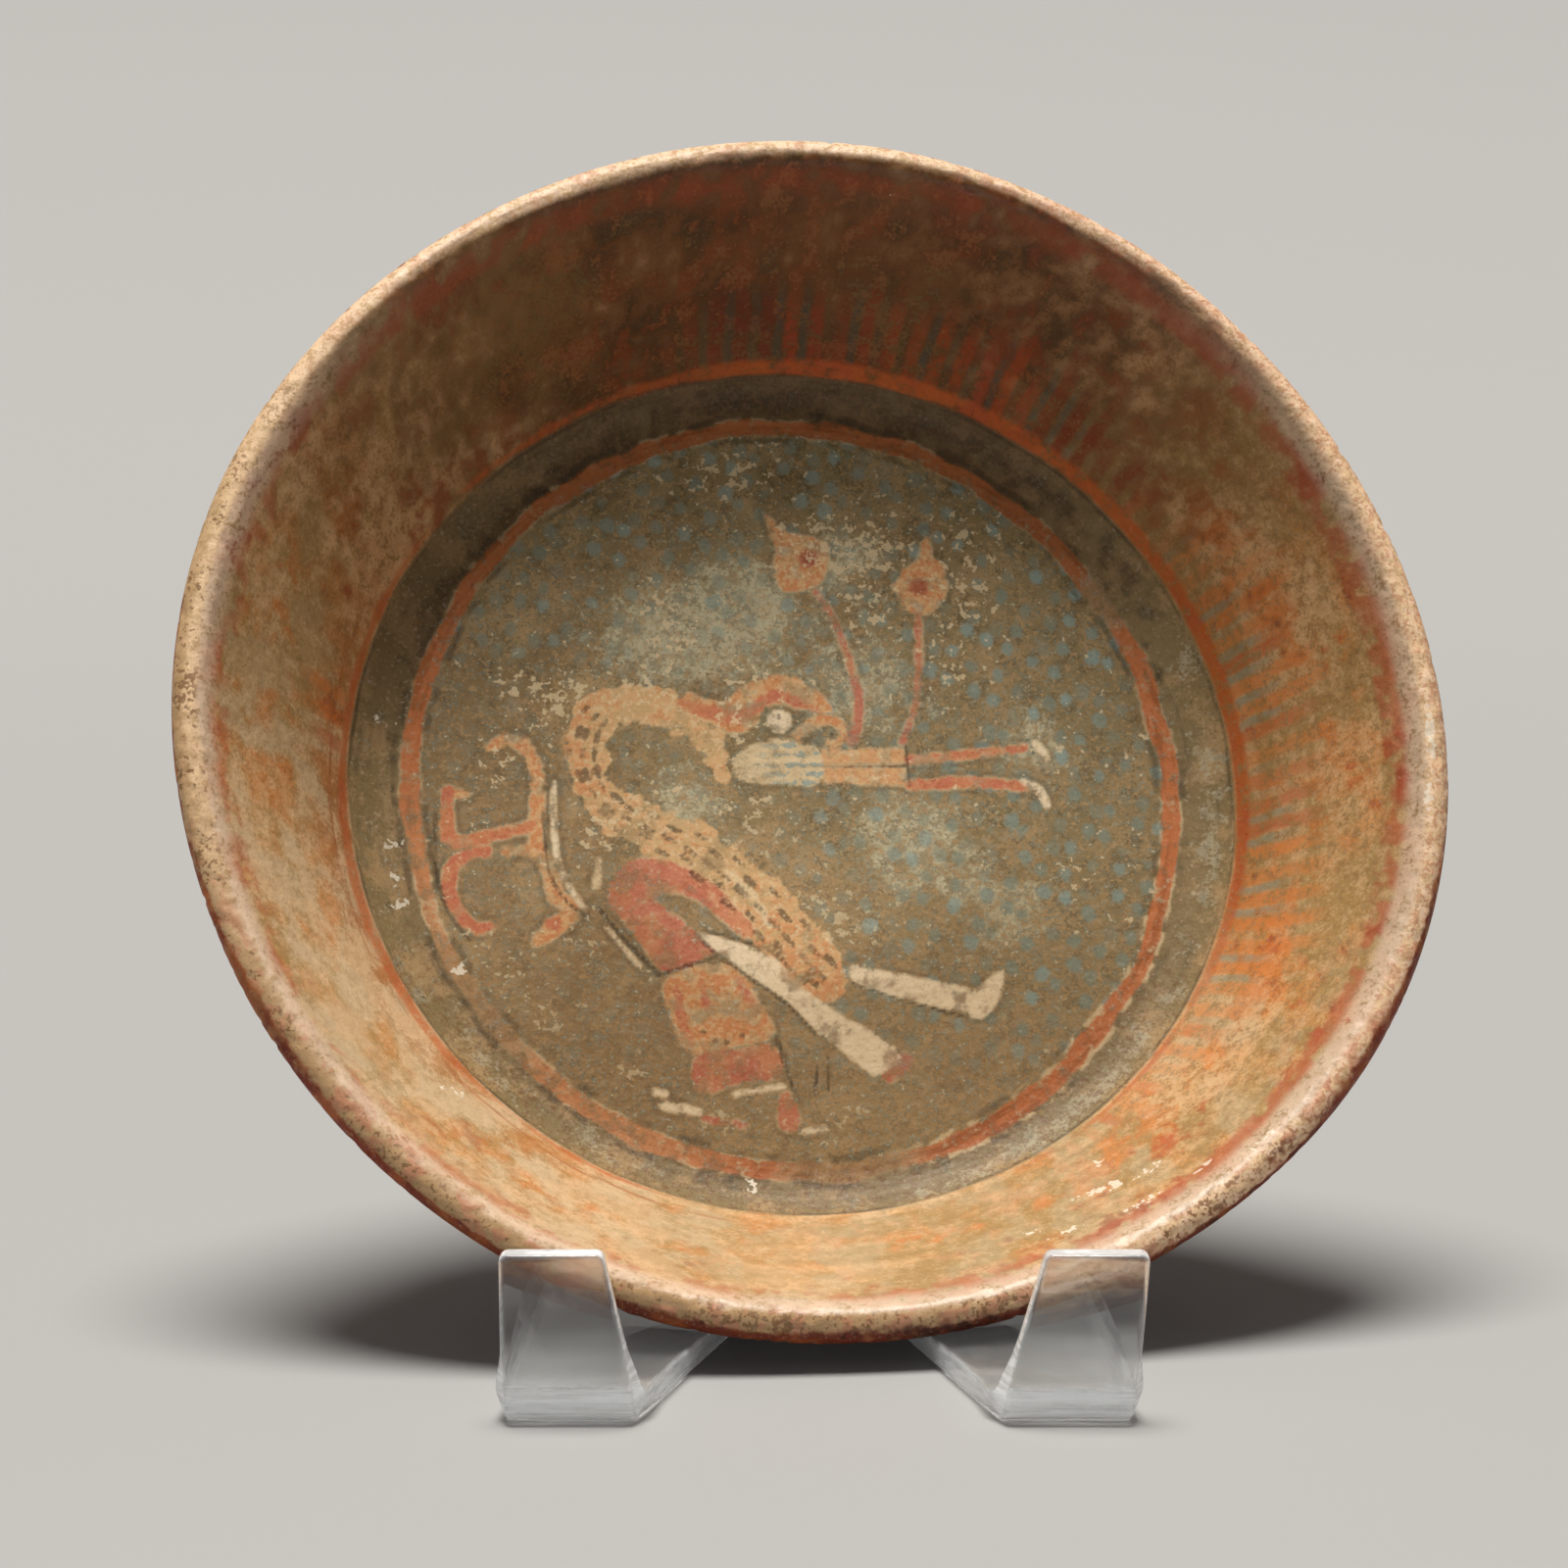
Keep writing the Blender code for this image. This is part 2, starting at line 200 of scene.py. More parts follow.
# Paint on the floor, in mm from its middle. A stroke is (x, y, width) points, a patch an outline.
figure = {
    "neck": [(-15.8, 5, 3), (-18, 11.5, 5), (-24, 18, 6.5), (-31.5, 22, 7.5), (-39, 22.5, 8),
             (-45, 19, 8), (-47.8, 12, 8.5), (-47.2, 4, 8.5), (-43.4, -2.5, 9), (-35, -7.5, 9.5),
             (-25.2, -13, 11), (-15.2, -21.3, 12.5), (-5.6, -32, 13.5), (1.4, -41.2, 12.8),
             (4.6, -45, 9)],
    "head": [(-26.3, 22.8), (-23, 25), (-18.5, 23.2), (-14, 23.6), (-9, 27), (-3.5, 29), (2.5, 28.2),
             (7.5, 24.8), (10.7, 19.4), (2, 21), (-1.8, 22), (-5.8, 20.4), (-8, 16), (-13.6, 15.2),
             (-20.3, 18.6)],
    "headBand": [(-25, 22.6, 2), (-18.7, 20.3, 3.6), (-12, 19, 4), (-7, 21.4, 2.6), (-2.9, 24, 3),
                 (2.1, 22.6, 2.6), (7.6, 20, 1.2)],
    "eye": (-1.9, 17.6, 2.7),
    "curl": [(1.6, 13.5, 2.4), (4.8, 16.3, 2.8), (8.8, 18, 2.4), (12.2, 16.6, 2.2), (13, 13.6, 2),
             (11, 11.8, 1.8), (9.2, 12.8, 1.4)],
    "billBase": [(-12.3, 10), (-7, 12.4), (-1, 13.3), (3.8, 11.7), (7, 10.6), (6.8, 2), (-4, 2.2),
                 (-11.8, 3), (-13.4, 6.4)],
    "billUpper": [(7.2, 10.5), (26.7, 10.3), (26.5, 6.7), (7.2, 6.9)],
    "billLower": [(7.1, 6.1), (27.1, 5.7), (26.8, 1.4), (6.9, 2)],
    "prongs": [[(27.9, 7.4, 2.4), (38.8, 8.3, 2.2), (55.5, 10, 1.7)],
               [(27.9, 1.4, 2.6), (44, 1.6, 2.6), (54.5, 0.2, 2.2)]],
    "prongTips": [[(57.8, 11, 1.3), (60, 7.8, 1.6), (60.4, 4.5, 1)],
                  [(54.4, 1.6, 1.2), (58, -0.4, 1.2), (59.6, -4.8, 0.8), (57.4, -1.6, 0.8)]],
    "stalks": [[(14.9, 12.6, 3), (17, 21.2, 2.2), (15.2, 33, 1.9), (12.1, 43, 1.6), (8.3, 50, 1.5)],
               [(26.6, 11.8, 1.5), (30.1, 20.5, 1.6), (31.7, 30.7, 1.6), (32.4, 44.5, 1.5)]],
    "budLeft": [(-2.7, 69.8), (1.1, 65.8), (5.2, 64.2), (10, 63.2), (12.2, 60.2), (10.4, 53.3),
                (7, 50.8), (0.9, 50.4), (-1.2, 54.6), (-0.4, 60.8)],
    "budRight": [(35.5, 65), (36.6, 59.8), (38.9, 55.8), (39.8, 50.3), (37.3, 45.4), (33, 43.8),
                 (29, 45.6), (27.1, 50), (29.1, 54.5), (33, 57.4), (34.4, 61.3)],
    "budHearts": [(7, 58.3, 2.3), (33, 50.8, 2.5)],
    "hookTop": [(-69.5, 11.8, 2), (-65.3, 14, 3.2), (-61.3, 12, 3.4), (-59.4, 7, 3.2), (-59, 0, 3.2),
                (-59.6, -8, 3.4), (-59.8, -13, 3.4)],
    "hookPost": [(-79.6, 1.5, 2.4), (-80, -5, 3.2), (-79, -10.8, 3.4), (-70.2, -9.4, 2.8),
                 (-61, -7.4, 2.8)],
    "hookBit": [(-78.5, 0.8, 1.8), (-75.1, 0.5, 1.6)],
    "hookLeft": [(-71.3, -13.2, 2.6), (-78, -15.6, 3), (-80.2, -21.6, 3.4), (-78.2, -27.7, 3.6),
                 (-74.4, -31.8, 3), (-71.3, -31.4, 2.2)],
    "hookRight": [(-67, -13.4, 2), (-60, -13.4, 3), (-57, -18.3, 3.4), (-55.4, -24.2, 4.2),
                  (-53, -28.4, 5), (-56.8, -32.2, 4.4), (-60.5, -35.2, 2.4)],
    "hookHeart": (-56.6, -30.8, 1.7),
    "breastLine": [(-55.2, 3.1, 1), (-55.6, -6, 1), (-54.8, -17.1, 1.1), (-51.5, -24.3, 1.1),
                   (-49.2, -27.2, 1)],
    "thigh": [(-44, -24.6), (-42, -19.5), (-38, -16.2), (-32.7, -15.4), (-26.7, -17.4), (-20.8, -21),
              (-15.2, -26.4), (-10.8, -32.6), (-11.6, -35.4), (-14.7, -33.9), (-18.3, -30.3),
              (-22.4, -26.7), (-26.4, -24.4), (-30.9, -24.1), (-32.7, -26), (-28.4, -29.6),
              (-23.7, -34.4), (-19.4, -38), (-25.6, -41.5), (-30, -43), (-33.1, -42), (-36.6, -36.5),
              (-40.2, -31.1), (-42.9, -27.7)],
    "slivers": [[(-16.5, -18.8, 1.2), (-10.6, -25.4, 2.8), (-7, -32.6, 1.4)],
                [(-45.6, -15.6, 1.2), (-46.4, -22, 2)]],
    "legs": [[(-23.5, -34), (-15, -36.3), (-6.5, -40.4), (-1.2, -46.4), (5.6, -52.7), (16, -59.5),
              (21.2, -64.6), (16.3, -68.4), (13.2, -67.4), (2.4, -57.8), (-4.3, -50.1), (-12.5, -44.1),
              (-20.7, -37.3)],
             [(11, -42), (17, -43.6), (27.7, -46.2), (39.9, -49.4), (37.8, -53.7), (30.9, -52.8),
              (16.7, -48.6), (11, -45.4)]],
    "footEnd": [(17.4, -65.4), (21.3, -63.4), (24, -65.8), (18.9, -70.4), (16.3, -68.8)],
    "hoof": [(39.7, -49.1), (46.1, -44.4), (44.8, -50.6), (41.3, -55.2), (37.6, -55)],
    "hoofHeart": [(41.3, -49.4), (43.9, -47.6), (42.5, -53), (40.2, -54.3)],
    "tail": [(-31.9, -45.1), (-22.5, -41.3), (-15.4, -42.2), (-10, -50.7), (-7.5, -57.5), (-9.2, -59.8),
             (-16.4, -61.2), (-25, -63), (-27.8, -61.5), (-30.3, -57)],
    "tailStripes": [[(-29.2, -47, 1.8), (-28.6, -53, 2.2), (-26.8, -60, 2)],
                    [(-23.4, -45, 1.6), (-22.4, -52, 1.5)], [(-15, -45.4, 1.6), (-11.4, -52, 2)]],
    "tailDots": [(-21, -59.6, 0.7), (-18.4, -60, 0.7), (-14.8, -58.6, 0.6), (-23.6, -57.4, 0.6)],
    "tailBlock": [(-25.6, -63), (-16.4, -61.6), (-7.7, -61), (-6.1, -68.4), (-15.3, -69.4),
                  (-22.6, -72), (-26.2, -70.4)],
    "blockLine": [(-17.4, -72.4, 0.9), (-6.2, -70.8, 0.9)],
    "smallRed": [[(-7, -73.1), (-4.1, -72.9), (-3, -80.8), (-7.5, -80.5)]],
    "redDabs": [[(-24.6, -77.8, 1.6), (-15.4, -79.8, 1.4)]],
    "creamDabs": [[(-34, -74.8, 1.4), (-30, -75.4, 2.2), (-25.2, -76.4, 1.4)],
                  [(-2.2, -81.6, 1.2), (2.5, -81.2, 1.6)], [(-35, -71.5, 1.6), (-33, -71.8, 1.4)]],
    "thinCream": [[(-44.7, -31.7, 0.5), (-34.8, -44.8, 0.5)], [(-8.8, 8, 0.6), (6, 7.6, 0.6)]],
    "thinDark": [[(-46.2, -27, 0.9), (-41, -34.5, 0.8), (-33.1, -43.6, 1)],
                 [(-7.2, -59.2, 0.9), (-3.6, -72.5, 0.8)],
                 [(11.2, -46.6, 0.6), (24, -51.4, 0.6), (36.6, -55.2, 0.7)],
                 [(-8.8, 6.8, 0.5), (8, 6.5, 0.5), (27.3, 6.1, 0.5)],
                 [(-24, -34, 0.8), (-20, -38.6, 0.9), (-12, -45, 0.7), (-4, -51.4, 0.8),
                  (2, -58.6, 0.7)],
                 [(-22, -33.4, 0.6), (-15, -35.4, 0.5), (-6, -39.4, 0.8), (0, -46.6, 0.7)],
                 [(-58, -4, 0.6), (-57.4, -17, 0.8), (-53.6, -25.4, 0.8), (-48.6, -29.6, 1)],
                 [(-82.6, -4, 0.7), (-83, -14, 0.8), (-81.2, -26, 0.8), (-76, -34.6, 0.8)],
                 [(1, -73, 0.7), (2, -66, 0.6)], [(4, -72, 0.6), (4.6, -64, 0.5)],
                 [(-33.6, -43.8, 0.8), (-20, -39.6, 0.7)], [(27.2, 11, 0.5), (27.6, 1, 0.5)],
                 [(9.8, 14.6, 0.9), (10.6, 13.4, 0.7)]],
    "spotRows": (0.30, -0.02, -0.30),      # across the neck, as shares of its width
    "spotSpacing": 4.6, "spotsFrom": 0.34,
}

# Soft spots on the floor, as (x, y, reach) in mm: crumbs of cream slip, paler ground, worn paint.
floorSpots = {
    "crumbs": [(-13, 79, 8), (-4, 80, 5), (6, 62, 9), (17, 58, 10), (25, 62, 7), (45, 62, 8),
               (44, 47, 9), (20, 43, 7), (-28, 47, 6), (-24, 38, 7), (-8, 30, 6), (-62, 27, 6),
               (-55, 20, 6), (-50, 26, 6), (-32, 27, 7), (-14, 17, 6), (-8, -6, 9), (-30, -3, 7),
               (-45, -9, 7), (4, -24, 8), (11, -34, 7), (60, 8, 6), (66, -20, 4), (40, 30, 8),
               (-68, 8, 6), (-50, -34, 6), (-42, -68, 5), (-22, -79, 5), (-60, -52, 7), (-69, -40, 6),
               (8, -80, 5)],
    "paleGround": [(-33, 40, 12), (-16, 41, 15), (-6, 49, 11), (15, 58, 10), (18, 26, 15),
                   (27, -12, 15), (58, 10, 10), (-24, -2, 8), (48, -30, 10)],
    "bareSpots": [(-25, 15, 6), (-32, 11, 6), (-40, -8, 7), (-34, -5, 5), (-18, -16, 5), (-12, -26, 5),
                  (2, -35, 5), (-21, 4, 4), (-2, -47, 6), (24, -48, 4), (-18, -56, 7), (-64, -11, 4),
                  (-34, -24, 4), (20, 8, 4)],
}

# Blots on the wall and the lip: (angle, along, reach around, reach up, strength) in degrees and mm.
redBlots = [(136, 112, 16, 5, 1.0), (128, 108, 10, 4, 0.8), (143, 108, 10, 4, 0.7),
            (171, 112, 4, 6, 1.0), (128, 150, 10, 8, 0.9), (118, 146, 12, 8, 0.6),
            (95, 118, 14, 10, 0.6), (84, 118, 12, 10, 0.8), (47, 116, 16, 7, 0.8), (38, 118, 8, 8, 0.6),
            (9, 140, 5, 5, 0.7), (5, 112, 6, 7, 0.7), (25, 154, 12, 4, 0.8), (-6, 154, 10, 4, 0.9),
            (-20, 155, 14, 3, 0.8), (-36, 150, 10, 4, 0.7), (-50, 135, 14, 8, 0.7),
            (-62, 152, 16, 5, 0.8), (-75, 140, 16, 6, 0.5), (-90, 148, 22, 6, 0.6),
            (-108, 140, 14, 8, 0.5), (-133, 132, 10, 6, 0.8), (-128, 120, 10, 4, 0.7),
            (-150, 156, 14, 4, 0.8), (-138, 160, 12, 4, 0.9), (-168, 152, 18, 5, 0.5),
            (165, 158, 18, 3, 0.8), (150, 158, 18, 3, 0.6), (60, 150, 14, 8, 0.4),
            (70, 160, 20, 3, 0.5), (110, 160, 20, 3, 0.4)]
orangeBlots = [(12, 130, 26, 12, 0.55), (-8, 126, 20, 12, 0.5), (-28, 124, 20, 12, 0.9),
               (-48, 122, 18, 10, 0.9), (-62, 130, 16, 8, 0.8), (-80, 128, 22, 6, 0.6),
               (-100, 126, 26, 8, 0.5), (-122, 134, 22, 12, 0.7), (-160, 130, 14, 10, 0.8),
               (176, 138, 16, 12, 0.9), (162, 140, 12, 9, 0.8), (152, 130, 12, 6, 0.5),
               (8, 142, 12, 5, 0.6), (68, 122, 14, 10, 0.6), (30, 126, 16, 10, 0.6),
               (180, 156, 20, 4, 0.4)]
# Pale blots; those in the cove, near the wall's foot, are a painted highlight.
paleBlots = [(18, 100, 8, 3, 0.8), (2, 98, 14, 3, 0.9), (-12, 98, 12, 3, 0.7), (-40, 100, 20, 4, 0.9),
             (-58, 100, 16, 4, 0.9), (-72, 100, 12, 4, 0.8), (-120, 98, 16, 4, 0.6),
             (-140, 98, 18, 4, 0.7), (-150, 110, 14, 8, 0.4), (-90, 140, 26, 14, 0.4),
             (-150, 142, 20, 12, 0.5), (120, 96, 18, 3, 0.2)]
# Dark blots of painted shade, mostly on the cove's upper side.
darkBlots = [(90, 98, 40, 3, 0.9), (60, 98, 30, 3, 0.8), (120, 95, 30, 3, 0.8), (150, 94, 22, 3, 0.7),
             (35, 97, 22, 3, 0.6), (70, 92.5, 30, 1.6, 0.9), (130, 93, 30, 1.5, 0.8),
             (168, 93, 16, 1.4, 0.8), (20, 93, 20, 1.3, 0.6), (-75, 96, 12, 3, 0.5),
             (-103, 95, 16, 3, 0.6), (90, 130, 40, 12, 0.4), (-166, 129, 4, 8, 0.5)]

easel = {
    "thickness": 6.0, "halfWidth": 65.8, "taper": 2.4, "notchHalfWidth": 44.8, "notchTaper": 14.7,
    "notchEndRadius": 5.0, "cornerRadius": 1.8, "lipHeight": 35.6, "lipsAside": 1.2,
    "innerBend": 1.0, "outerBend": 5.5, "footBend": 12.0, "plateLength": 105.0, "topBend": 8.0,
    "legLean": 22.0, "edgeRound": 1.1, "bendStep": 5.0, "armGuess": 80.0, "sharpFrom": 40.0,
    # a heated bend swells on its inside and draws in on its outside
    "bendBulge": 1.7, "bendDraw": 0.8, "bulgeReach": 9.0,
    "fit": 0.9995,
}


def arc(centre, radius, start, end, steps):
    turns = [start + (end - start) * i / steps for i in range(steps + 1)]
    return [(centre[0] + radius * math.cos(t), centre[1] + radius * math.sin(t)) for t in turns]


def line(start, end, steps):
    return [(start[0] + (end[0] - start[0]) * i / steps, start[1] + (end[1] - start[1]) * i / steps)
            for i in range(steps + 1)]


def touching(point, centre, radius, side):
    across, up = centre[0] - point[0], centre[1] - point[1]
    return math.atan2(up, across) + side * math.asin(radius / math.hypot(across, up))


def bowlRings():
    # (radius, height) of each ring from the edge of the floor, over the lip, to the middle of the base
    steps, thick = bowl["ringSteps"], bowl["baseThickness"]
    crease = (bowl["floorRadius"] + bowl["coveWidth"], thick + bowl["coveRise"])
    lipRadius = bowl["lipThickness"] / 2
    lip = (crease[0] + bowl["wallFlare"] - lipRadius, crease[1] + bowl["wallRise"])
    sweep = 2 * math.atan2(bowl["coveRise"], bowl["coveWidth"])
    coveRadius = bowl["coveWidth"] / math.sin(sweep)
    fine = bowl["creaseReach"] / coveRadius
    centre = (bowl["floorRadius"], thick + coveRadius)
    bottom = -math.pi / 2
    cove = arc(centre, coveRadius, bottom, bottom + sweep - fine, steps["cove"])
    cove += arc(centre, coveRadius, bottom + sweep - fine, bottom + sweep, steps["crease"] // 2)[1:]
    inside = touching(crease, lip, lipRadius, 1)
    sunk, near = bowl["wallThickness"], bowl["creaseReach"]
    foot = (crease[0] + sunk * math.sin(inside), crease[1] - sunk * math.cos(inside))
    outside = touching(foot, lip, lipRadius, -1)
    rounding = arc(lip, lipRadius, inside + math.pi / 2, outside - math.pi / 2, steps["lip"])
    near = (crease[0] + near * math.cos(inside), crease[1] + near * math.sin(inside))
    wall = line(crease, near, steps["crease"] // 2) + line(near, rounding[0], steps["wall"])[1:]
    corner = foot[0] - foot[1] / math.tan(outside)
    flat = corner - bowl["heelRadius"] * math.tan(outside / 2)
    heelRadius = bowl["heelRadius"]
    heel = arc((flat, heelRadius), heelRadius, outside - math.pi / 2, bottom, steps["heel"])
    outer = line(rounding[-1], heel[0], steps["outside"])
    base = line(heel[-1], (bowl["baseHole"], 0), steps["base"])
    rings = cove
    for stretch in (wall, rounding, outer, heel, base):
        rings = rings + stretch[1:]
    return rings


def outOfRound(radius, angle, lipReach):
    share = max(0.0, (radius - bowl["floorRadius"]) / (lipReach - bowl["floorRadius"]))
    lobes = [size * math.cos(count * (angle - math.radians(toward)))
             for count, size, toward in bowl["lobes"]]
    return share * sum(lobes)


def weigh(value, low, high):
    share = min(1.0, max(0.0, (value - low) / (high - low)))
    return share * share * (3 - 2 * share)


def onDrum(angle, along, radius, length):
    # a place for noise that changes round the bowl and along its surface, and has no seam
    return Vector((math.cos(angle) * radius, math.sin(angle) * radius, along / length))


def relief(co, along, lipStart, lipEnd):
    # how far the surface lies below the true form: wear, pits on the lip and marks of the wheel
    onLip = weigh(along, lipStart - 6, lipStart + 2) * (1 - weigh(along, lipEnd + 2, lipEnd + 10))
    onWall = weigh(along, *bowl["wornFrom"]) * (1 - weigh(along, lipEnd + 30, lipEnd + 50))
    angle = math.atan2(co.y, co.x)
    drift = 0.5 + 0.5 * noise.noise(onDrum(angle, along, *bowl["wavinessScale"]))
    wheel = noise.noise(onDrum(angle, along, *bowl["wheelScale"]))
    pits = noise.noise(co / bowl["pitSize"]) + 0.35 * noise.noise(co / bowl["pitPatch"])
    pits = weigh(pits, *bowl["pitRange"]) * onLip
    return (bowl["waviness"] * onWall * drift + bowl["wheelMarks"] * onWall * wheel
            + bowl["pitDepth"] * pits)


def makeBowlMesh():
    cells, edgeRadius = bowl["cells"], bowl["floorRadius"]
    rings = bowlRings()
    lipReach = edgeRadius + bowl["coveWidth"] + bowl["wallFlare"]
    mesh = bmesh.new()
    alongLayer = mesh.verts.layers.float.new("along")
    bmesh.ops.create_grid(mesh, x_segments=cells, y_segments=cells, size=1)
    for vert in mesh.verts:
        # the square grid is eased out to a disc
        x, y = vert.co.xy
        vert.co.x = edgeRadius * x * math.sqrt(1 - y * y / 2)
        vert.co.y = edgeRadius * y * math.sqrt(1 - x * x / 2)
        vert[alongLayer] = vert.co.xy.length
        dish = 1 - (vert[alongLayer] / edgeRadius) ** 2
        vert.co.z = bowl["baseThickness"] - bowl["floorDish"] * dish
    edges = [e for e in mesh.edges if e.is_boundary]
    along, before = edgeRadius, rings[0]
    marks = {}
    for index, (radius, height) in enumerate(rings[1:]):
        along += math.hypot(radius - before[0], height - before[1])
        before = (radius, height)
        marks[index] = along
        made = bmesh.ops.extrude_edge_only(mesh, edges=edges)["geom"]
        edges = [g for g in made if isinstance(g, bmesh.types.BMEdge) and g.is_boundary]
        for vert in [g for g in made if isinstance(g, bmesh.types.BMVert)]:
            vert.co.xy = vert.co.xy.normalized() * radius
            vert.co.z = height
            vert[alongLayer] = along
    bmesh.ops.pointmerge(mesh, verts=list({v for e in edges for v in e.verts}), merge_co=(0, 0, 0))
    bmesh.ops.recalc_face_normals(mesh, faces=mesh.faces)
    mesh.normal_update()
    counts = bowl["ringSteps"]
    lipFirst = counts["cove"] + counts["crease"] + counts["wall"] - 1
    lipStart, lipEnd = marks[lipFirst], marks[lipFirst + counts["lip"]]
    normals = [v.normal.copy() for v in mesh.verts]
    for vert, normal in zip(mesh.verts, normals):
        depth = relief(vert.co, vert[alongLayer], lipStart, lipEnd)
        radius, angle = vert.co.xy.length, math.atan2(vert.co.y, vert.co.x)
        if radius > edgeRadius:
            vert.co.xy *= 1 + outOfRound(radius, angle, lipReach) / radius
        vert.co -= normal * depth
    print("bowl rings", len(rings), "lip along", round(lipStart, 1), round(lipEnd, 1))
    return mesh


def curved(points, closed, cuts=4):
    # a smooth line through the points, which may carry a width as well
    points = [np.array(p, float) for p in points]
    count = len(points)
    found = []
    for i in range(count if closed else count - 1):
        around = [k % count if closed else min(max(k, 0), count - 1) for k in range(i - 1, i + 3)]
        p0, p1, p2, p3 = [points[k] for k in around]
        for t in np.arange(cuts) / cuts:
            found.append(0.5 * (2 * p1 + (p2 - p0) * t + (2 * p0 - 5 * p1 + 4 * p2 - p3) * t * t
                                + (3 * p1 - p0 - 3 * p2 + p3) * t ** 3))
    return found if closed else found + [points[-1]]


farOff = 99.0       # mm; a distance from which a stroke no longer matters


def toStroke(points, x, y):
    # distance in mm to a brush stroke's edge, negative inside it
    best = np.full(x.shape, farOff)
    smoothLine = curved(points, False)
    for (x0, y0, w0), (x1, y1, w1) in zip(smoothLine, smoothLine[1:]):
        dx, dy = x1 - x0, y1 - y0
        share = np.clip(((x - x0) * dx + (y - y0) * dy) / (dx * dx + dy * dy + 1e-9), 0, 1)
        width = w0 + (w1 - w0) * share
        best = np.minimum(best, np.hypot(x - x0 - share * dx, y - y0 - share * dy) - width / 2)
    return best


def toPatch(points, x, y, round_=True):
    best, inside = np.full(x.shape, farOff), np.zeros(x.shape, bool)
    outline = curved(points, True, 3) if round_ else [np.array(p, float) for p in points]
    for (x0, y0), (x1, y1) in zip(outline, outline[1:] + outline[:1]):
        dx, dy = x1 - x0, y1 - y0
        share = np.clip(((x - x0) * dx + (y - y0) * dy) / (dx * dx + dy * dy + 1e-9), 0, 1)
        best = np.minimum(best, np.hypot(x - x0 - share * dx, y - y0 - share * dy))
        if y0 != y1:
            inside ^= ((y0 > y) != (y1 > y)) & (x < x0 + (y - y0) * dx / dy)
    return np.where(inside, -best, best)


def toDot(dot, x, y):
    return np.hypot(x - dot[0], y - dot[1]) - dot[2]


def neckSpots():
    # dark spots in rows along the neck, drawn out into short dashes towards the body
    path, spots, run = curved(figure["neck"], False, 8), [], 0.0
    for index, (before, after) in enumerate(zip(path, path[1:])):
        step = np.hypot(*(after - before)[:2])
        run += step
        if run > figure["spotSpacing"] and index > figure["spotsFrom"] * len(path):
            run = 0.0
            ahead = (after - before)[:2] / step
            side = np.array((-ahead[1], ahead[0]))
            dash = ahead * (0.5 + 1.3 * index / len(path))
            for row, share in enumerate(figure["spotRows"]):
                middle = after[:2] + side * after[2] * share * (1 + 0.3 * math.sin(7.3 * len(spots)))
                wide = 1.3 + 0.35 * math.sin(5.1 * len(spots) + row)
                spots.append([(*(middle - dash), wide), (*(middle + dash), wide * 0.7)])
    return spots


def paintDistances(x, y):
    # signed distances of each paint's edge over the floor
    f = figure
    strokes = lambda *names: [toStroke(f[n], x, y) for n in names]
    patches = lambda *names: [toPatch(f[n], x, y) for n in names]
    all_ = np.minimum.reduce
    orange = all_(strokes("curl", "hookTop", "hookPost", "hookBit", "hookLeft", "hookRight")
                  + patches("head", "budLeft", "budRight", "tail")
                  + [toPatch(f[n], x, y, False) for n in ("billUpper", "billLower")]
                  + [toStroke(s, x, y) for s in f["prongs"]])
    red = all_(strokes("headBand", "hookPost", "hookLeft")
               + patches("thigh", "footEnd", "hoofHeart", "tailBlock") + [toDot(f["hookHeart"], x, y)]
               + [toStroke(s, x, y) for s in f["prongs"] + f["stalks"] + f["tailStripes"] + f["redDabs"]]
               + [toPatch(s, x, y) for s in f["smallRed"]] + [toDot(d, x, y) for d in f["budHearts"]])
    cream = all_([toPatch(leg, x, y) for leg in f["legs"]] + patches("hoof")
                 + strokes("breastLine", "blockLine") + [toDot(f["eye"], x, y)]
                 + [toStroke(s, x, y) for s in f["prongTips"] + f["creamDabs"] + f["thinCream"]])
    blue = all_(patches("billBase") + [toStroke(s, x, y) for s in f["slivers"]])
    neckOnly = toStroke(f["neck"], x, y)
    darkLines = all_([toStroke(s, x, y) for s in f["thinDark"]] + [toDot(d, x, y) for d in f["tailDots"]]
                     + [toDot((f["eye"][0] - 0.2, f["eye"][1] + 1.1, 0.7), x, y)]
                     + [toStroke(s, x, y) for s in neckSpots()])
    hearts = all_([toDot(d, x, y) for d in f["budHearts"]])
    return dict(zip(paintNames, (orange, red, cream, blue, darkLines, neckOnly, hearts)))


flecks = [(-57.8, 123, 1.6, 1.6, 1.2), (-59.5, 137, 1.6, 2.2, 1.2), (-61, 135, 3.5, 1.0, 1.0),
          (-56, 139, 4, 0.9, 1.0), (-63, 133, 3, 1.0, 0.9), (-59.9, 150, 4, 1.2, 1.1),
          (-52, 152, 5, 1.2, 0.9), (-67, 146, 5, 1.0, 0.8), (-70, 139, 3.5, 0.9, 0.9),
          (-48, 160, 5, 1.2, 0.8), (-3, 163, 5, 1.6, 1.2), (-9, 162, 4, 1.2, 0.9),
          (-137, 117, 1.6, 1.6, 1.1), (-138.5, 121, 1.4, 1.2, 1.0), (169, 95.6, 1.2, 3.0, 0.9),
          (-173, 93.2, 1.4, 2.6, 1.1), (-168, 94.8, 2.0, 2.4, 1.1), (-164, 95.2, 1.8, 2.2, 1.1),
          (-152, 89, 1.8, 2.2, 1.0), (-99, 96, 2.0, 2.4, 1.0), (83, 158, 0.8, 0.8, 1.3),
          (79, 155, 0.7, 0.7, 1.2)]

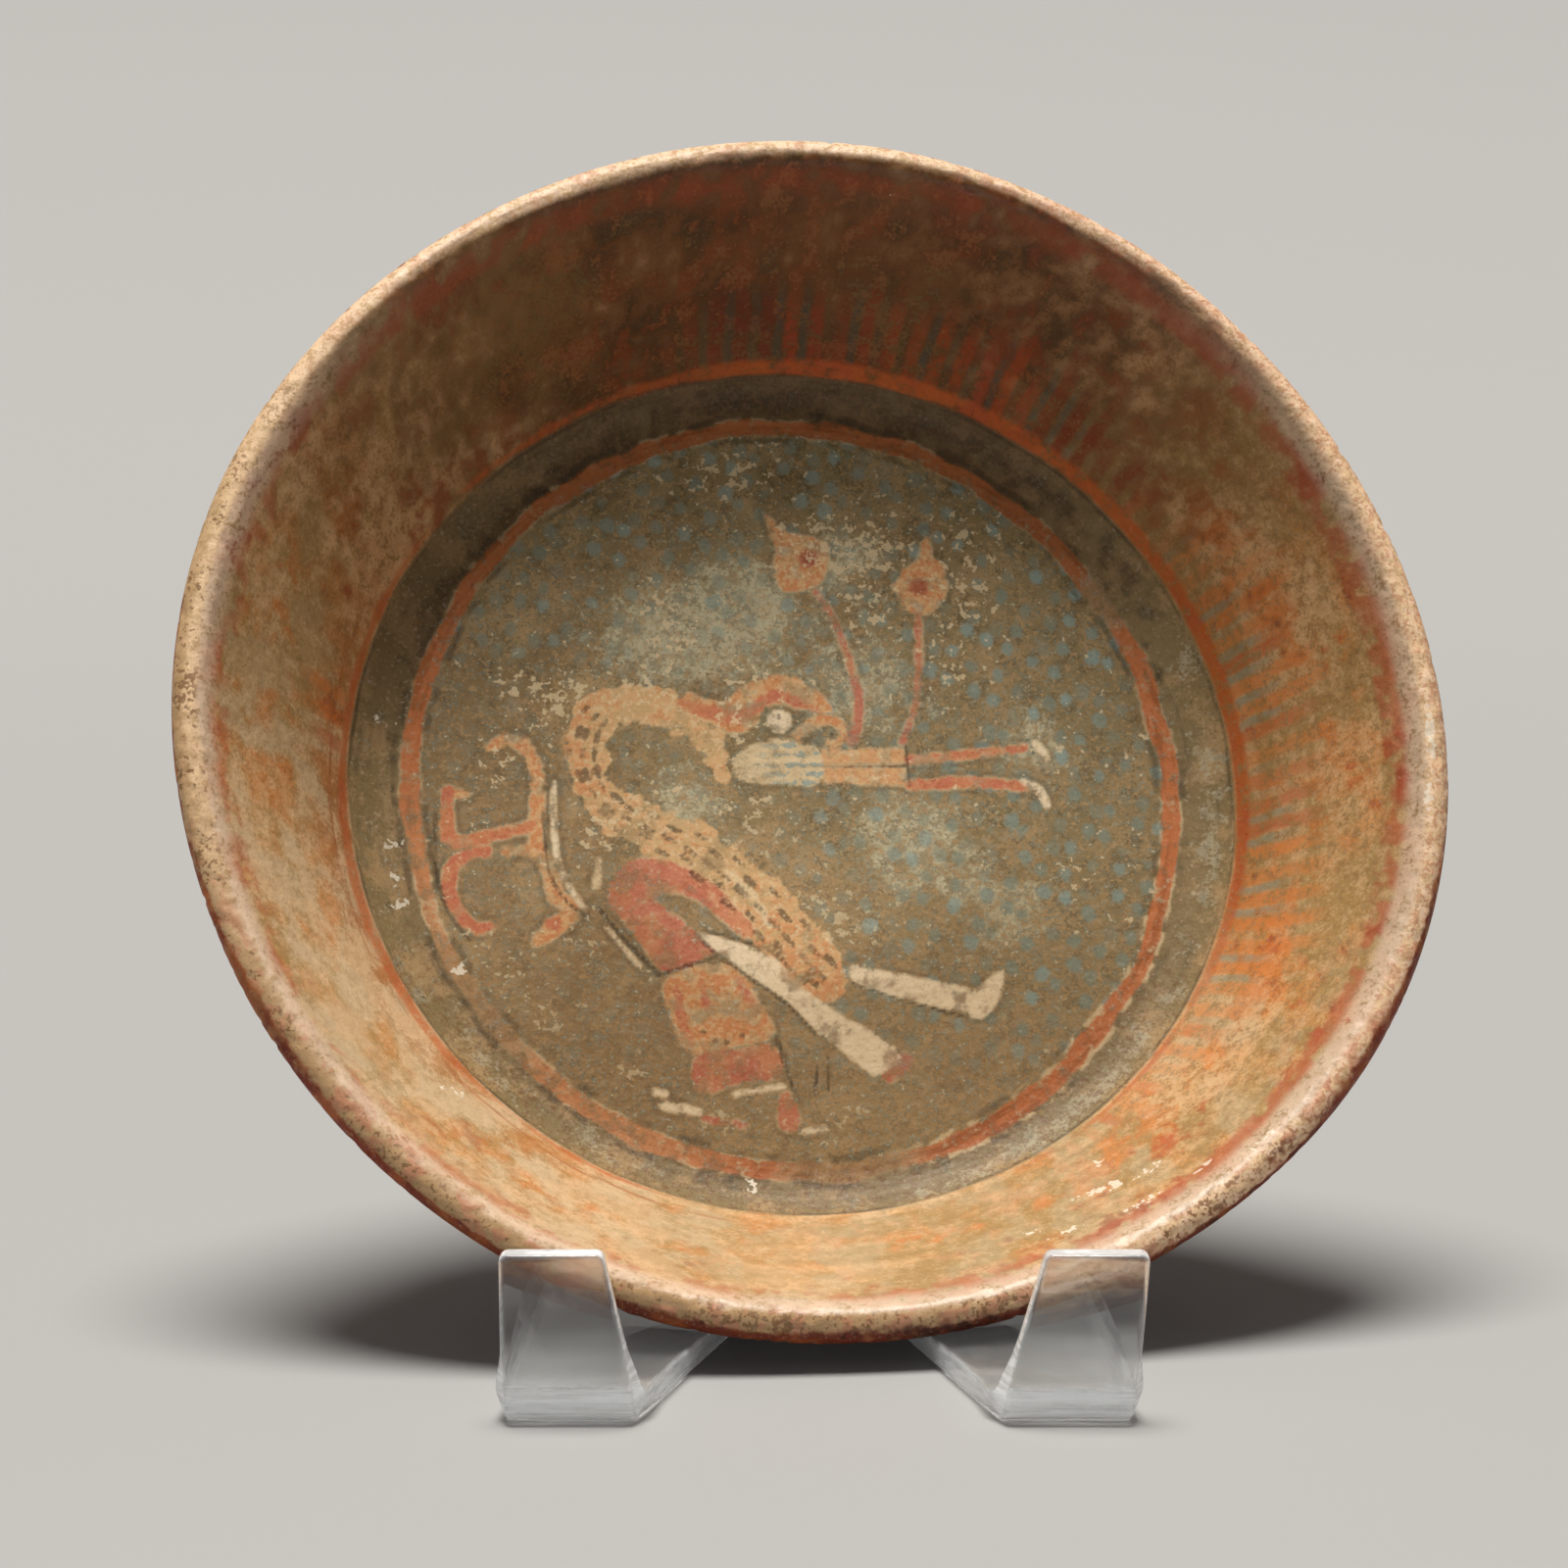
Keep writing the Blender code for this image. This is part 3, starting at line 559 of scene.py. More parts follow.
blots = {
    "flecks": flecks, "redBlots": redBlots, "orangeBlots": orangeBlots, "paleBlots": paleBlots,
    "darkBlots": darkBlots,
}
paintNames = (
    "orangePaint", "redPaint", "creamPaint", "bluePaint", "darkPaint", "neckPaint", "heartPaint")
noiseFields = {     # cloudy fields kept at the mesh's points: size in mm, octaves, shift, unrolled or not
    "haze": ((12, 12, 12), 3, 11, False), "wear": ((4.5, 4.5, 4.5), 3, 23, False),
    "broad": ((42, 42, 42), 3, 0, False), "drift": ((12, 12, 12), 3, 37, False),
    "sweep": ((60, 60, 4.5), 3, 5, True),
}
fieldNames = ("along", *noiseFields, *blots, *floorSpots, *paintNames)
# three fields to a vector attribute
fieldGroups = [fieldNames[i:i + 3] for i in range(0, len(fieldNames), 3)]
rolledRadius = 120.0        # the unrolled surface is as long round as a drum of this radius, in mm
noiseSpread = 0.12          # of a cloudy field about its mean of 0.5
paintReach = 4.0            # the floor's paint is worked out this far past its edge
unpainted = 30.0            # stands for the distance to any paint beyond that


def cloudy(points, size, octaves, shift):
    found = np.array([noise.fractal(Vector(p) + Vector((shift, shift, shift)), 0.8, 2.0, octaves)
                      for p in points / np.array(size, float)])
    return 0.5 + noiseSpread * (found - found.mean()) / found.std()


def spread(spots, angle, along):
    total = np.zeros(angle.shape)
    for at, up, around, rise, strength in spots:
        apart = (angle - at + 180) % 360 - 180
        total += strength * np.exp(-(apart * 2.0 / around) ** 2 - ((along - up) / rise) ** 2)
    return np.clip(total, 0, 1.2)


def paintBowl(mesh):
    count = len(mesh.vertices)
    co = np.zeros(count * 3)
    mesh.vertices.foreach_get("co", co)
    co = co.reshape(-1, 3)
    x, y = co[:, 0], co[:, 1]
    along = np.zeros(count)
    mesh.attributes["along"].data.foreach_get("value", along)
    radius, angle = np.hypot(x, y) + 1e-6, np.degrees(np.arctan2(y, x))
    rolled = np.stack((x / radius * rolledRadius, y / radius * rolledRadius, along), axis=1)
    onFloor = along < bowl["floorRadius"] + paintReach
    fields = {}
    for name, distance in paintDistances(x[onFloor], y[onFloor]).items():
        fields[name] = np.full(count, unpainted)
        fields[name][onFloor] = distance
    for name, spots in floorSpots.items():
        fields[name] = sum(np.where(onFloor, np.exp(-((x - cx) ** 2 + (y - cy) ** 2) / reach ** 2), 0)
                           for cx, cy, reach in spots)
    for name, (size, octaves, shift, unrolled) in noiseFields.items():
        fields[name] = cloudy(rolled if unrolled else co, size, octaves, shift)
    for name, spots in blots.items():
        fields[name] = spread(spots, angle, along)
    fields["along"] = along
    for index, names in enumerate(fieldGroups):
        values = np.stack([fields[n] for n in names], axis=1).astype(np.float32)
        group = mesh.attributes.new(f"fields{index}", "FLOAT_VECTOR", "POINT")
        group.data.foreach_set("vector", values.ravel())


paints = {name: shade(*values) for name, values in {
    "buff": (200, 158, 110), "oliveBuff": (160, 128, 78), "wallTan": (212, 178, 138),
    # the two darkest browns on the next line are tints of painted shade on the bowl's upper side
    "ochre": (206, 132, 72), "brown": (98, 54, 18), "topShade": (62, 40, 15), "rust": (158, 64, 24),
    "orange": (208, 120, 56), "footOrange": (188, 92, 38), "red": (172, 70, 46), "darkRed": (112, 36, 22),
    # on the next line, the pale pink is a painted sheen and the pale grey after it tints painted shade
    # low down
    "sheenPink": (226, 202, 182), "lowShade": (196, 188, 174), "blueGrey": (128, 138, 122),
    "skyBlue": (142, 166, 160), "cream": (230, 204, 160), "olive": (142, 122, 84),
    "darkOlive": (86, 76, 50), "tan": (182, 150, 106), "umber": (122, 86, 50), "dark": (48, 40, 28),
    "paleGrey": (190, 180, 150), "palerGround": (200, 190, 156), "wornNeck": (214, 176, 124),
    "paleOrange": (220, 172, 120), "paintOrange": (212, 142, 90), "brickRed": (198, 108, 82),
    "deepRed": (138, 58, 44), "legCream": (240, 218, 182), "ringOrange": (198, 118, 70),
    "ringBrown": (156, 84, 38), "bareLip": (230, 194, 152), "pittedLip": (164, 128, 84),
    "lipRed": (192, 112, 92), "lipCream": (240, 208, 178), "slip": (134, 52, 26),
    "slipDark": (70, 30, 16), "wornSlip": (176, 116, 72), "white": (240, 230, 208),
}.items()}

# Where one part's paint gives way to the next along the surface, as the values for smooth or band.
zones = {
    "ground": (91.5, 90.2), "lowShade": (45, 103.5, 12), "wall": (103.4, 104.6), "rim": (160, 163),
    "outside": 169.5, "standing": (248, 262, 3),
}
ring = {"radiusX": 88.4, "radiusY": 91.1, "radius": 89.7, "halfWidth": 2.0}
dots = {"turn": 24.0, "spacing": (5.8, 6.6), "scatter": 0.6}
wallStrokes = {"spacing": 3.1, "foot": (106.2, 107.8), "reach": 117}
grains = {      # fine noise in the shader: size in mm, detail, roughness, shift
    "fine": (0.9, 1, 0.65), "small": (3.0, 2, 0.62), "crumb": (1.6, 1, 0.7, (2, 4, 6)),
    "flake": (2.6, 2, 0.7, (3, 1, 8)),
}
clay = {
    "roughness": 0.52, "specular": 0.22, "coatRoughness": 0.38, "bumpStrength": 0.6, "bumpDepth": 0.0005,
    "coat": (150, 166, 4),          # the rubbed strip that shines a little
}


def sector(look, centre, half, soft=5):
    # 1 within half degrees of an angle round the bowl, which is counted from the viewer's right
    toward = math.radians(centre)
    across = (look.x * math.cos(toward) + look.y * math.sin(toward)) / look.radius
    outer, inner = math.radians(half + soft), math.radians(max(half - soft, 0))
    return smooth(across, math.cos(outer), math.cos(inner))


def wallColor(look):
    # bare and worn buff clay, mottled olive, with a haze of orange and stains of red
    mottle = look.small + (look.fine - 0.5) * 1.1
    olive = smooth(look.broad + look.sweep * 0.5 + look.wear * 0.3, 0.76, 1.0)
    hazy = look.orangeBlots + (look.haze - 0.5) * 2.0 + (look.wear - 0.5) * 1.6 + (look.small - 0.5) * 1.2
    calm = 1 - sector(look, -128, 60, 30) * 0.55
    pallid = sector(look, -146, 34, 26) * smooth(look.haze + (mottle - 0.5) * 0.3, 0.66, 0.36)
    pale = smooth(look.paleBlots + (look.wear - 0.5) * 1.6 + (mottle - 0.5) * 1.0, 0.25, 1.0)
    nearFoot = smooth(look.along + (look.wear - 0.5) * 16, 124, 110) * sector(look, -166, 36, 20)
    color = laid(
        mixed("buff", "oliveBuff", olive * 0.9),
        ("ochre", smooth(look.haze + look.wear * 0.5, 0.70, 0.94) * 0.45),
        ("oliveBuff", smooth(look.streaks * 0.25 + mottle * 0.8, 0.48, 0.70) * 0.56),
        ("orange", smooth(hazy, 0.45, 1.15) * (0.22 + calm * 0.36)),
        ("bareLip", pale * 0.45),
        ("wallTan", pallid * 0.70),
        # pale grey patches; on the lower side they are a painted sheen
        ("paleGrey", greater(pallid * 0.30, look.low * 0.26) * smooth(look.drift, 0.44, 0.60)),
        ("umber", smooth(mottle, 0.50, 0.74) * calm * 0.42),
        ("bareLip", smooth(mottle, 0.46, 0.26) * 0.32),
        ("ringBrown", nearFoot * smooth(look.haze + mottle * 0.5, 0.60, 0.86) * 0.42))
    # the upper side is painted darker and browner, as painted shade
    topShadeTone = laid(
        mixed("brown", "topShade", smooth(look.wear + (look.haze - 0.5) * 0.6 + mottle * 0.5, 0.62, 0.92)),
        ("topShade", smooth(look.along, 136, 112) * 0.55))
    rusty = smooth(look.wear + (look.drift - 0.5) * 0.8 + mottle * 0.4, 0.70, 0.92)
    olive = smooth(look.broad * 0.6 + look.wear * 0.5 + mottle * 0.4, 0.72, 0.92)
    stain = look.redBlots + (look.haze - 0.5) * 1.6 + (look.wear - 0.5) * 1.6 + (look.small - 0.5) * 2.0
    tone = mixed("red", "darkRed", greater(smooth(look.drift, 0.45, 0.6), look.high))
    # on the upper side the stains turn dark red and rust and olive are laid on, all part of that painted
    # shade
    return laid(
        color,
        (topShadeTone, look.high * 0.94),
        ("rust", look.high * rusty * 0.34),
        ("oliveBuff", look.high * olive * 0.26),
        (tone, smooth(stain, 0.50, 1.15) * (calm - look.high * 0.6) * 0.60))


def strokes(look, color):
    # short strokes that rise from the wall's foot, in orange, red and blue grey
    angle = look.x.math("ARCTAN2", look.y, look.x) * (180 / math.pi)
    turn = angle / wallStrokes["spacing"] + (look.haze - 0.5) * 0.4
    number = turn.math("FLOOR", turn)
    pick, tint = turn.node("ShaderNodeTexWhiteNoise", {"noise_dimensions": "1D"}, {"W": number},
                           ("Value", "Color"))
    chance = turn.node("ShaderNodeSeparateColor", values={"Color": tint}, out="Green")
    top = sector(look, 74, 24, 6)
    right = sector(look, -2, 30, 10)
    reds = greater(sector(look, 45, 10), sector(look, 90, 11))
    reach = wallStrokes["reach"] + pick * 9 + (look.small - 0.5) * 14 + right * 13 + top * 8
    rise = smooth(look.along, *wallStrokes["foot"]) * smooth(reach - look.along, -5.0, 8.0)
    stroke = band(turn - number + (look.small - 0.5) * 0.25, 0.05, 0.60, 0.13)
    stroke = stroke * rise * (0.6 + chance * 0.4)
    where = greater(greater(right, top), greater(reds, sector(look, -38, 18, 8) * 0.7))
    left = greater(sector(look, 171, 4, 3), sector(look, 150, 12) * 0.12)
    shown = 0.06 + 0.94 * greater(where, left)
    worn = smooth(look.small + look.fine * 0.6, 1.06, 0.68)
    between = band(turn - number, 0.66, 1.02, 0.12) * smooth(look.along, 106, 108)
    between = between * smooth(look.along - right * 5 - top * 10, 122, 112)
    between = between * greater(top, right) * worn * smooth(chance, 0.2, 0.5)
    # on the bowl's upper side the strokes and the blue grey between them are painted darker, as painted
    # shade
    tone = laid(
        mixed("orange", "rust", look.high),
        ("red", smooth(pick, 0.30, 0.05) * 0.7),
        ("darkRed", reds * smooth(pick, 0.10, 0.40) * 0.85))
    return laid(
        color,
        (mixed("blueGrey", "dark", look.high * 0.80), between * 0.60),
        (tone, stroke * shown * worn * 0.84))


def coveColor(look):
    # the grey-olive band between the ring and the wall's foot
    mottle = look.small + (look.fine - 0.5) * 1.0
    pale = smooth(look.paleBlots + (mottle - 0.5) * 2.2 + (look.wear - 0.5) * 2.4, 0.30, 1.20)
    dim = smooth(look.darkBlots + (look.wear - 0.5) * 2.0 + (look.small - 0.5) * 1.4, 0.20, 1.10)
    edge = smooth(look.along + (look.small - 0.5) * 8, 95, 91)
    # the pale blots here are a painted highlight; the dark blots, the darker upper side and the umber
    # specks that thicken low down are painted shade
    return laid(
        mixed("olive", "tan", smooth(look.haze + (mottle - 0.5) * 0.4, 0.42, 0.66) * 0.75),
        ("darkOlive", smooth(look.streaks * 0.5 + look.wear * 0.5 + mottle * 0.3, 0.64, 0.86) * 0.50),
        ("paleGrey", pale * 0.70),
        ("dark", dim * 0.50),
        ("topShade", greater(look.high * 0.74, sector(look, 140, 26, 16) * 0.56)),
        ("umber", smooth(look.crumb + (look.fine - 0.5) * 0.9, 0.52, 0.66) * (0.25 + 0.45 * look.low)),
        ("dark", edge * smooth(look.haze + look.small * 0.4, 0.55, 0.85) * 0.25))


def footLine(look, color):
    # the orange line along the wall's foot, broad at the right and thin at the left
    wave = (look.drift - 0.5) * 3.0
    broadPart = sector(look, 38, 62, 12)
    lowLeft = sector(look, -158, 20, 10)
    wide = 106.7 + broadPart * 1.6 + lowLeft * 2.2 + wave * 0.6
    share = smooth(look.along + wave * 0.4, 103.8, 105.2) * smooth(look.along - wide, 1.2, -1.0)
    shown = greater(broadPart * 0.84, smooth(look.sweep + look.haze * 0.5, 0.60, 0.84) * 0.6)
    shown = greater(shown, greater(sector(look, 172, 26, 10), lowLeft) * 0.72)
    tone = mixed("footOrange", "red", smooth(look.haze, 0.45, 0.66) * 0.45)
    # a second, fainter line above it at the lower left
    second = band(look.along + wave, 110.0, 112.2, 0.9) * sector(look, -150, 48, 12)
    return laid(
        color,
        (tone, share * shown * smooth(look.small + look.fine * 0.4, 0.98, 0.66)),
        ("ringBrown", second * smooth(look.streaks, 0.42, 0.62) * 0.6))


def creaseLine(look, color):
    crease = band(look.along + (look.drift - 0.5) * 0.9, 103.1, 104.1, 0.5)
    return mixed(color, "dark", crease * smooth(look.streaks, 0.40, 0.60) * 0.45)


def groundColor(look):
    # the floor's mottled ground with its rows of blue-grey dots
    mottle = look.small + (look.fine - 0.5) * 1.1
    tanned = smooth(look.haze + (mottle - 0.5) * 1.0, 0.44, 0.72) * (0.66 - smooth(look.x, 10, 60) * 0.22)
    lower = smooth(look.y + look.x * 0.4, 16, -60)
    paler = smooth(look.paleGround + (look.crumb - 0.5) * 1.4 + (look.wear - 0.5) * 1.6, 0.25, 1.05)
    darker = smooth(mottle + (look.wear - 0.5) * 0.7, 0.50, 0.72) * (1 - paler * 0.35)
    spots = look.x.node("ShaderNodeMapping", None, {
        "Vector": look.place, "Rotation": (0, 0, math.radians(dots["turn"])),
        "Scale": (1 / dots["spacing"][0], 1 / dots["spacing"][1], 0)})
    away, pick = look.x.node("ShaderNodeTexVoronoi", {"voronoi_dimensions": "2D"}, {
        "Vector": spots, "Scale": 1.0, "Randomness": dots["scatter"]}, ("Distance", "Color"))
    chance, other = look.x.node("ShaderNodeSeparateColor", values={"Color": pick}, out=("Red", "Green"))
    dotted = smooth(away - chance * 0.08 + (mottle - 0.5) * 0.34, 0.31, 0.12)
    zone = greater(smooth(look.x, -14, 20), smooth(look.y, 20, 50)) * 0.74 + 0.26
    dotted = dotted * zone * smooth(other, -0.30, 0.45) * smooth(look.y, -80, -55)
    return laid(
        mixed("olive", "tan", tanned),
        ("tan", lower * (0.42 + smooth(look.wear, 0.42, 0.60) * 0.36)),
        ("umber", smooth(look.drift + look.broad * 0.6 - look.x / 500, 0.76, 1.0) * 0.30),
        ("palerGround", paler * (0.50 + smooth(mottle, 0.62, 0.36) * 0.34)),
        ("darkOlive", darker * (0.62 - lower * 0.18)),
        ("blueGrey", smooth(look.flake + (look.fine - 0.5) * 0.8, 0.52, 0.68) * 0.42),
        ("tan", smooth(look.crumb + (look.fine - 0.5) * 0.6, 0.45, 0.30) * 0.62),
        (mixed("blueGrey", "skyBlue", smooth(other, 0.50, 1.0) * 0.8),
         dotted * (0.62 + smooth(look.x, 20, 60) * 0.16)))


def figureColor(look, color):
    # each paint is worn back from its edge, and through to the ground in places
    fleck = (look.fine - 0.5) * 1.0
    edge = (look.small - 0.5) * 1.5 + fleck
    inside = lambda distance, reach=0.0: smooth(distance - reach + edge, 0.60, -0.50)
    kept = look.wear * 0.7 + look.small * 0.5 + look.fine * 0.25 + look.bareSpots * 0.14
    kept = smooth(kept, 0.94, 0.68)
    nearest = lesser(lesser(look.orangePaint, look.redPaint), lesser(look.creamPaint, look.bluePaint))
    shadowLine = smooth(abs(nearest - 1.0) + edge * 0.6, 1.1, 0.1) * smooth(look.haze, 0.44, 0.62)
    # the neck is the most worn, with a ragged edge and crumbs of orange and cream
    neck = inside(look.neckPaint + (look.wear - 0.5) * 5 + (look.haze - 0.5) * 3, 0.8)
    bare = smooth(look.bareSpots + (look.wear - 0.5) * 2, 1.3, 0.3)
    orangePart = greater(smooth(look.x, -42, -49), smooth(look.y, -24, -36))
    crust = look.crumb * 0.6 + look.flake * 0.5 + (look.wear - 0.5) * 0.6 + look.bareSpots * 0.08
    crust = smooth(crust - orangePart * 0.09, 0.66, 0.50)
    crumbs = smooth(look.crumb + (look.fine - 0.5) * 0.5 + orangePart * 0.06, 0.50, 0.36)
    neckTone = laid(
        mixed("paleOrange", "paintOrange", smooth(look.small + orangePart * 0.12, 0.50, 0.66)),
        ("cream", crumbs * 0.70))
    # the other paints lie on a cream that shows where they are thin
    under = lesser(look.orangePaint, lesser(look.redPaint, look.creamPaint))
    bars = smooth(look.y, 15, 11) * smooth(look.x, -10, 0)
    fan = smooth(look.y, -38, -46)
    orangeTone = laid(
        mixed("paintOrange", "paleOrange",
              greater(smooth(look.crumb + look.wear * 0.4, 0.56, 0.78), bars * 0.6)),
        ("cream", smooth(look.flake + look.wear * 0.5 + bars * 0.06 + fan * 0.05, 0.80, 0.92) * 0.5))
    redTone = mixed("brickRed", "paintOrange", smooth(look.haze + look.small * 0.6, 0.72, 0.96) * 0.5)
    mottle = smooth(look.small + look.fine * 0.5 + (look.wear - 0.5) * 0.8, 0.92, 0.62)
    worn = look.wear + fleck * 0.3 + (look.small - 0.5) * 0.5 + look.bareSpots * 0.16
    creamTone = mixed("legCream", "umber", smooth(worn, 0.52, 0.78) * 0.55)
    wavy = look.y.math("SINE", look.y * 2.6 + look.small * 5)
    streaky = smooth(look.flake + wavy * 0.10, 0.48, 0.60)
    blueTone = mixed("cream", "skyBlue", streaky * smooth(look.x, -12, 2) * 0.8)
    return laid(
        color,
        ("dark", shadowLine * 0.26),
        ("wornNeck", neck * (0.46 + bare * 0.38)),
        (neckTone, neck * crust * 0.74),
        ("cream", inside(under, 0.35) * smooth(look.wear, 0.56, 0.42) * 0.52),
        (orangeTone, inside(look.orangePaint, -0.1) * (0.40 + 0.55 * kept)),
        (redTone, inside(look.redPaint, -0.1) * (0.34 + 0.28 * kept + 0.22 * mottle)),
        (creamTone, inside(look.creamPaint) * (0.62 + 0.36 * kept)),
        (blueTone, inside(look.bluePaint, -0.1) * (0.35 + 0.50 * kept)),
        ("deepRed", smooth(look.heartPaint + edge, 0.8, -1.4) * 0.55),
        ("dark", smooth(look.darkPaint + edge * 0.5, 0.40, -0.20) * (0.35 + 0.30 * kept)))


def ringColor(look, color):
    # the orange ring, edged with cream here and there, which is faded away in three places
    acrossX, acrossY = look.x / ring["radiusX"], look.y / ring["radiusY"]
    oval = look.x.math("SQRT", acrossX * acrossX + acrossY * acrossY)
    off = oval * ring["radius"] - ring["radius"] + (look.drift - 0.5) * 2.6
    across = abs(off) - (ring["halfWidth"] + (look.broad - 0.5) * 1.4)
    gone = greater(greater(sector(look, -146, 9), sector(look, -85, 8)), sector(look, 31, 3, 3)) * 0.80
    edge = (look.small - 0.5) * 1.7 + (look.fine - 0.5) * 0.9
    shadow = smooth(abs(across - 1.2) + edge, 1.3, 0.2) * smooth(look.haze + look.wear * 0.5, 0.70, 0.86)
    border = smooth(across - 0.40 - sector(look, -50, 26, 12) * 0.5 + edge, 0.50, -0.40)
    border = border * smooth(look.wear + look.haze * 0.8, 0.90, 0.76)
    low = smooth(look.y, 40, -30) * 0.60 + 0.40
    eaten = sector(look, -142, 34, 12)
    streaky = smooth(look.streaks + (look.small - 0.5) * 0.4, 0.46, 0.68)
    # the ring's tone is painted darker towards the top, as painted shade
    tone = laid(
        mixed("ringOrange", "ringBrown", streaky * 0.7),
        ("paleOrange", eaten * 0.35),
        ("brown", smooth(look.y, 10, 80) * 0.42))
    worn = look.small + look.fine * 0.5 + eaten * 0.10 + (look.wear - 0.5) * eaten
    worn = 0.34 + 0.62 * smooth(worn, 1.04, 0.72)
    return laid(
        color,
        ("dark", shadow * 0.45),
        ("cream", border * (1 - gone) * low * 0.70),
        (tone, smooth(across + edge * 0.6, 0.45, -0.45) * (1 - gone) * worn))


def underLip(look, color):
    # a red line, darker on the upper side as painted shade, and a pale painted sheen on the wall's upper
    # end, which is a painted highlight
    wave = look.lipWave * (1 - look.top * 0.5)
    redder = band(look.along + wave - look.top * 3.0, 150.5, 157, 2.0)
    patchy = smooth(look.wear + look.haze * 0.4 + look.right * 0.10 + look.top * 0.08, 0.62, 0.80)
    sheen = band(look.along + wave * 0.4, 156.0, 163.0, 2.4)
    sheenBreakup = smooth(look.small + (look.fine - 0.5) * 0.9, 0.84, 0.48)
    return laid(
        color,
        (mixed("red", "rust", look.high), redder * patchy * (0.36 + look.right * 0.16)),
        ("sheenPink", sheen * sheenBreakup * (1 - look.top) * 0.50))


def lipColor(look):
    # bare and pitted clay on top of the lip, with what is left of its red slip
    lowPart = sector(look, -96, 70, 22)
    mottle = look.small + (look.fine - 0.5) * 0.9
    outerHalf = smooth(look.along + look.lipWave * 0.6, 163.5, 166.5) * smooth(look.y, 90, 20) * 0.75
    crackle = smooth(look.crumb + (look.fine - 0.5) * 0.9, 0.50, 0.62)
    outward = smooth(look.along + look.lipWave * 0.4, 163.5, 168.5) * 0.18
    patchy = smooth(look.wear + (look.small - 0.5) * 0.8, 0.52, 0.64)
    patchy = greater(lowPart * 0.6, look.top * 0.35) * patchy
    pits = smooth(look.crumb * 0.7 + look.fine * 0.5 + (look.drift - 0.5) * 0.4, 0.665, 0.74)
    pits = pits * smooth(look.along, 171, 168) * sector(look, -128, 84, 16)
    return laid(
        mixed("bareLip", "tan", smooth(mottle, 0.44, 0.66) * 0.70),
        ("pittedLip", greater(lowPart, outerHalf) * (1 - look.right) * 0.80),
        # the lip's top is painted paler, as a painted highlight
        ("lipCream", look.top * smooth(mottle, 0.62, 0.42) * 0.7),
        ("lipRed", look.right * (crackle * 0.36 + outward)),
        ("lipCream", look.right * smooth(look.flake + (look.fine - 0.5) * 0.7, 0.46, 0.36) * 0.66),
        ("lipRed", patchy * 0.7),
        ("umber", pits * 0.80)), pits


def outsideColor(look):
    # red-brown slip, worn through in places and bare where the bowl stands
    # painted light and shade: the slip is painted lighter on the sides and darker underneath
    side = smooth(look.upward, -0.85, -0.45)
    # the mesh is too coarse out here for the fields at its points
    haze, wear = grain(look.place, 10, 2), grain(look.place, 4.5, 2, 0.6, (5, 5, 5))
    dim = smooth(look.broad + (look.small - 0.5) * 0.9, 0.42, 0.66) * (1 - side * 0.85)
    orangeShare = 0.26 + side * 0.24
    worn = smooth(look.small * 0.5 + wear * 0.8 + side * 0.10, 0.72, 0.88)
    return laid(
        mixed("slip", "slipDark", greater(dim, smooth(look.upward, -0.6, -0.95) * 0.5)),
        ("orange", smooth(haze + wear * 0.4 + side * 0.06, 0.68, 0.90) * orangeShare),
        ("wornSlip", worn * (0.40 + side * 0.35)),
        ("dark", smooth(look.sweep + look.broad * 0.6, 0.90, 1.06) * 0.22),
        ("buff", band(look.along, *zones["standing"]) * smooth(look.small, 0.42, 0.6) * 0.7))


def specked(look, color):
    # white chips and fine dark and pale specks
    chips = smooth(look.flecks + (look.crumb - 0.5) * 2.6 + (look.fine - 0.5) * 1.0, 0.62, 0.80)
    return laid(
        color,
        ("white", chips * smooth(look.flecks, 0.05, 0.4) * 0.66),
        ("dark", smooth(look.fine, 0.44, 0.26) * 0.22),
        # fewer pale specks on the upper side, as part of its painted shade
        ("white", smooth(look.fine, 0.58, 0.78) * (1 - look.high * 0.9) * 0.13))


def lookOver(wire, bowlPlace):
    # what the paints go by: the place on the bowl, the fields at the mesh's points and fine noise
    here = wire.node("ShaderNodeTexCoord", out="Object")
    place = wire.node("ShaderNodeMapping", {"vector_type": "TEXTURE"}, {
        "Vector": here, "Location": bowlPlace, "Rotation": bowlRotation().to_euler(),
        "Scale": (0.001,) * 3})
    look = SimpleNamespace(place=place)
    look.x, look.y = wire.node("ShaderNodeSeparateXYZ", values={"Vector": place}, out=("X", "Y"))
    look.radius = wire.math("SQRT", look.x * look.x + look.y * look.y + 0.01)
    for index, names in enumerate(fieldGroups):
        vector = wire.node("ShaderNodeAttribute", {"attribute_name": f"fields{index}"}, out="Vector")
        parts = wire.node("ShaderNodeSeparateXYZ", values={"Vector": vector}, out=("X", "Y", "Z"))
        vars(look).update(zip(names, parts))
    for name, settings in grains.items():
        setattr(look, name, grain(place, *settings))
    # a place on the unrolled surface, so that streaks run round the bowl without a seam
    rolled = wire.node("ShaderNodeCombineXYZ", values={
        0: look.x / look.radius * rolledRadius, 1: look.y / look.radius * rolledRadius, 2: look.along})
    look.streaks = grain(rolled, (24, 24, 1.6), 1, 0.65)
    look.upward = look.y / look.radius
    # the bowl's upper side, where many paints are darkened as painted shade
    look.high = smooth(look.upward + (look.haze - 0.5) * 0.4 + (look.wear - 0.5) * 0.4, 0.26, 1.00)
    # the lower side, where the floor and cove get painted shade and the wall a painted sheen
    look.low = smooth(look.upward, -0.1, -0.8)
    # the top, where the lip gets a painted highlight
    look.top = smooth(look.upward, 0.35, 0.85)
    look.right = sector(look, -8, 64, 20)
    look.lipWave = (look.sweep - 0.5) * 7 + (look.small - 0.5) * 4
    return look


